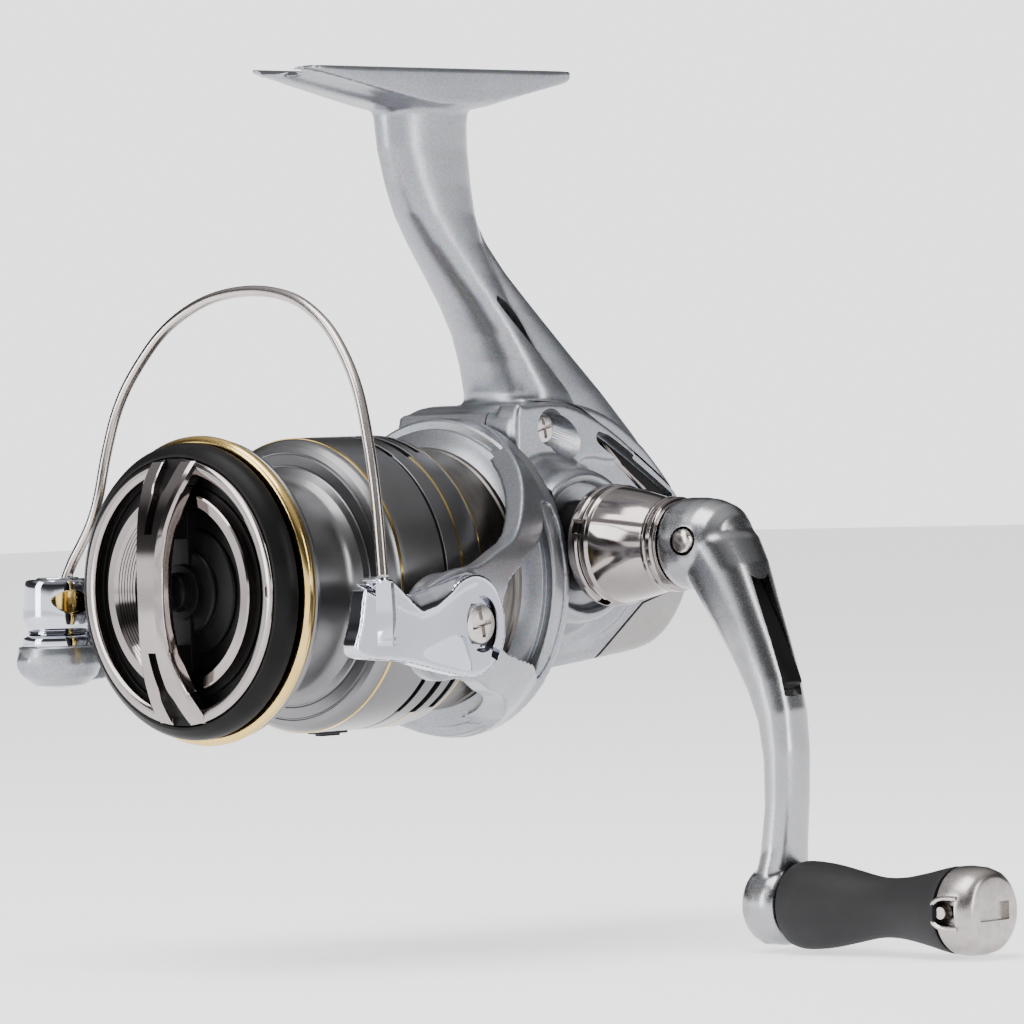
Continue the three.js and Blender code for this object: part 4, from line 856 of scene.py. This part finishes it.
hub = crosswise([
    (0, 41.7), (6.4, 41.7), (6.9, 42.1), (7.15, 43.4), (7.1, 46.4), (6.8, 48.6), (6.0, 50.8), (4.4, 52.4),
    (2.2, 53.2), (0, 53.4)], DRIVE_Y, DRIVE_Z, steps=64)
knob_seat = crosswise([
    (0, 55.0), (4.2, 55.0), (5.7, 56.0), (6.2, 57.6), (6.25, 60.4), (5.8, 62.0), (5.2, 62.3), (0, 62.3)],
    DRIVE_Y, KNOB_Z, steps=64)
arm = cast(together(arm, hub, knob_seat), grain=0.36, smoothing=5)
recess = plate(flowing([(52.4, 3.2), (54.0, 4.0), (60.6, -7.6), (65.0, -17.6), (63.2, -19.0), (61.2, -16.4),
                        (57.6, -8.4), (53.6, -0.8)], 9), DRIVE_Y - 2.0, DRIVE_Y + 2.0, axis="y")
pin_hole = turned([(0, -9), (2.25, -9), (2.25, 9), (0, 9)], steps=48, centre=(FOLD_X, DRIVE_Y, FOLD_Z))
for tool in (recess, pin_hole):
    arm = machined(arm, tool)
fitted("handle_arm_forging", arm, satin_silver, "crank", ["handle_arm"], crease=42)
lining = plate(flowing([(52.9, 2.2), (54.2, 2.4), (60.2, -8.4), (64.0, -16.6), (63.0, -17.6), (61.4, -15.0),
                        (57.8, -7.4), (54.0, -0.2)], 9), DRIVE_Y - 1.9, DRIVE_Y + 1.9, axis="y")
bmesh.ops.translate(lining, vec=(-0.9, 0, -0.2), verts=lining.verts)
fitted("arm_recess_lining", lining, satin_black, "crank", ["arm_inlay"], edge=0.2)
cross_pin = turned([
    (0, -7.25), (1.35, -7.25), (1.75, -7.05), (1.9, -6.7), (1.9, 6.7), (1.75, 7.05), (1.35, 7.25), (0, 7.25)],
    steps=48, centre=(FOLD_X, DRIVE_Y, FOLD_Z))
fitted("fold_pin", cross_pin, warm_steel, "crank", ["handle_cross_pin"], crease=40)

# ---- handle knob ---------------------------------------------------------------------------------
# A waisted grip moulded in black rubber over a sleeve, closed by a brushed metal end piece with a small
# hanging loop, and spinning on two small bearings.

moulded_rubber = metal_finish(
    "moulded_rubber", (0.011, 0.011, 0.012), (0.007, 0.007, 0.0075), 6, 0.62, 0.08, 0.22, 0.03, metallic=0.0,
    shine=0.3)
brushed_cap = metal_finish(
    "brushed_cap", (0.42, 0.39, 0.375), (0.33, 0.305, 0.29), 3, 0.28, 0.06, 0.25, 0.008, stretch=(0.25, 2, 2))
GRIP = flowing([
    (5.7, 62.8), (6.45, 63.4), (6.68, 64.6), (6.66, 66.6), (6.3, 70.0), (5.5, 74.2), (4.75, 78.0), (4.5, 81.0),
    (4.7, 84.4), (5.4, 88.4), (6.15, 91.8), (6.5, 93.6), (6.52, 94.2)], 12, closed=False)
grip = crosswise([(2.3, 62.7)] + [tuple(corner) for corner in GRIP] + [
        (5.4, 94.3), (5.4, 90.6), (4.3, 90.6), (4.3, 86.8), (2.3, 86.8), (2.3, 70.4), (4.3, 70.4), (4.3, 66.4),
        (2.3, 66.4)], DRIVE_Y, KNOB_Z)
fitted("knob_rubber", grip, moulded_rubber, "handle_knob", ["knob_grip"], crease=35, edge=0.12)
end_piece = crosswise([
    (3.9, 91.0), (5.1, 91.0), (5.1, 94.55), (6.3, 94.55), (6.6, 94.9), (6.7, 96.4), (6.55, 98.6), (6.1, 100.0),
    (5.5, 100.6), (4.9, 100.8), (0, 100.8), (0, 99.6), (3.9, 99.6)], DRIVE_Y, KNOB_Z)
window = block((95.4, DRIVE_Y - 9, KNOB_Z - 2.0), (98.4, DRIVE_Y - 4.0, KNOB_Z + 2.0))
window_end = turned([(0, -9), (2.0, -9), (2.0, -4.0), (0, -4.0)], steps=40, centre=(95.6, DRIVE_Y, KNOB_Z))
end_slot = block((99.9, DRIVE_Y - 3.4, KNOB_Z - 1.4), (101.6, DRIVE_Y + 3.4, KNOB_Z + 1.4))
for tool in (window, window_end, end_slot):
    end_piece = machined(end_piece, tool)
fitted("knob_end_piece", end_piece, brushed_cap, "handle_knob", ["knob_end_cap"], crease=30,
       edge=0.15)
loop_path = [Vector((x, DRIVE_Y - 6.0, KNOB_Z + z)) for x, z in (
    (98.6, 2.2), (97.2, 2.25), (95.6, 2.2), (94.1, 1.6), (93.3, 0), (94.1, -1.6), (95.6, -2.2), (97.2, -2.25),
    (98.6, -2.2))]
hanging_loop = rod(flowing(loop_path, 10, closed=False), 0.4, sides=12)
peg = turned([(0, -5.9), (0.9, -5.9), (1.1, -5.6), (1.1, -4.4), (0, -4.4)], steps=32,
             centre=(95.2, DRIVE_Y, KNOB_Z))
fitted("knob_hanging_loop", together(hanging_loop, peg), warm_steel, "handle_knob", crease=40)

# ---- inner works ---------------------------------------------------------------------------------
# Gears, bearings, shafts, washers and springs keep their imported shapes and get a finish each.

cut_brass = metal_finish("cut_brass", (0.60, 0.45, 0.20), (0.50, 0.36, 0.15), 4, 0.28, 0.06, 0.2, 0.008)
ground_steel = metal_finish("ground_steel", (0.55, 0.55, 0.56), (0.46, 0.46, 0.47), 4, 0.22, 0.05, 0.2, 0.005)
carbon_felt = metal_finish(
    "carbon_felt", (0.06, 0.058, 0.052), (0.035, 0.034, 0.032), 2, 0.85, 0.08, 0.3, 0.08, metallic=0.0)
for finish, nodes in (
        (cut_brass, ("drive_gear", "pinion_gear", "stroke_gear", "roller_bush", "spool_support_washer",
                     "drag_nut")),
        (ground_steel, ("handle_bearing_right", "handle_bearing_left", "pinion_bearing", "handle_shank",
                        "knob_spindle", "knob_screw", "knob_bearing_inner", "knob_bearing_outer", "rotor_nut",
                        "bail_spring", "roller_pin", "main_shaft", "drag_disc_1", "drag_disc_2",
                        "drag_retaining_ring", "drag_spring")),
        (satin_black, ("roller_clutch", "stroke_slider")),
        (carbon_felt, ("drag_felt_1", "drag_felt_2", "drag_felt_3"))):
    for node in nodes:
        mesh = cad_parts[node].data
        mesh.materials.clear()
        mesh.materials.append(finish)

# ---- floor, lights and camera --------------------------------------------------------------------
# A pale floor just under the reel, soft lights above and beside it, and the camera.

low_corner, high_corner = (Vector(corner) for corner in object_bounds())
floor_blank = bmesh.new()
bmesh.ops.create_grid(floor_blank, x_segments=1, y_segments=1, size=3.0)
bmesh.ops.translate(floor_blank, vec=(0, 0, low_corner.z - 0.0005), verts=floor_blank.verts)
floor_mesh = bpy.data.meshes.new("floor")
floor_blank.to_mesh(floor_mesh)
floor_blank.free()
pale_floor = bpy.data.materials.new("pale_floor")
pale_floor.use_nodes = True
for socket, value in (("Base Color", (0.86, 0.86, 0.87, 1)), ("Roughness", 0.7),
                      ("Emission Color", (0.98, 0.985, 1.0, 1)), ("Emission Strength", 1.15)):
    pale_floor.node_tree.nodes["Principled BSDF"].inputs[socket].default_value = value
floor_mesh.materials.append(pale_floor)
floor = bpy.data.objects.new("floor", floor_mesh)
bpy.context.scene.collection.objects.link(floor)
floor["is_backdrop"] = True

sky = bpy.data.worlds.new("pale_room")
sky.use_nodes = True
room = sky.node_tree
direction = room.nodes.new("ShaderNodeTexCoord")
height = room.nodes.new("ShaderNodeSeparateXYZ")
room.links.new(direction.outputs["Generated"], height.inputs["Vector"])
shade = room.nodes.new("ShaderNodeMapRange")
shade.inputs["From Min"].default_value = -1
room.links.new(height.outputs["Z"], shade.inputs["Value"])
walls = room.nodes.new("ShaderNodeValToRGB")
walls.color_ramp.interpolation = "EASE"
for stop, grey in ((0.0, 0.2), (0.40, 0.5), (0.47, 2.4), (0.545, 2.4), (0.58, 0.10), (0.72, 0.05),
                   (0.82, 0.45), (1.0, 0.6)):
    mark = walls.color_ramp.elements.new(stop)
    mark.color = (grey * 0.98, grey * 0.985, grey, 1)
room.links.new(shade.outputs["Result"], walls.inputs["Fac"])
room.links.new(walls.outputs["Color"], room.nodes["Background"].inputs["Color"])
room.nodes["Background"].inputs["Strength"].default_value = 1.0
bpy.context.scene.world = sky

AZIMUTH = 0.7591855
ELEVATION = 0.0122430
ROLL = -0.0328129
DISTANCE = 978.95
FOCAL_LENGTH = 227.76
SENSOR_WIDTH = 36
SIDEWAYS = 47.3934
UPWARDS = 11.9855
back = Vector((
    math.sin(AZIMUTH) * math.cos(ELEVATION), -math.cos(AZIMUTH) * math.cos(ELEVATION), math.sin(ELEVATION)))
level = Vector((math.cos(AZIMUTH), math.sin(AZIMUTH), 0))
upright = back.cross(level)
right = level * math.cos(ROLL) + upright * math.sin(ROLL)
up = upright * math.cos(ROLL) - level * math.sin(ROLL)
lens = bpy.data.cameras.new("camera")
lens.sensor_width = SENSOR_WIDTH
lens.lens = FOCAL_LENGTH
lens.clip_start = 0.05
lens.clip_end = 20
camera = bpy.data.objects.new("camera", lens)
camera.matrix_world = Matrix.Translation(
    SHAFT_FRONT + MM * (SIDEWAYS * right + UPWARDS * up + DISTANCE * back)
) @ Matrix((right, up, back)).transposed().to_4x4()
bpy.context.scene.collection.objects.link(camera)
bpy.context.scene.camera = camera

reel_middle = (low_corner + high_corner) / 2


def soft_light(name, sideways, forward, above, size, power, tint):
    """A rectangular studio light placed from the reel's middle in camera terms, turned to face it."""
    panel = bpy.data.lights.new(name, "AREA")
    panel.shape = "RECTANGLE"
    panel.size, panel.size_y = size
    panel.energy = power
    panel.color = tint
    lamp = bpy.data.objects.new(name, panel)
    place = reel_middle + level * sideways + back * forward + Vector((0, 0, above))
    facing = (place - reel_middle).to_track_quat("Z", "Y").to_matrix().to_4x4()
    lamp.matrix_world = Matrix.Translation(place) @ facing
    bpy.context.scene.collection.objects.link(lamp)


soft_light("top_light", -0.25, 0.2, 0.9, (0.7, 0.7), 11, (1.0, 0.99, 0.98))
soft_light("left_light", -0.9, 0.35, 0.25, (0.35, 0.9), 8, (0.97, 0.98, 1.0))
soft_light("right_light", 0.9, 0.5, 0.2, (0.22, 0.9), 6, (1.0, 0.99, 0.97))
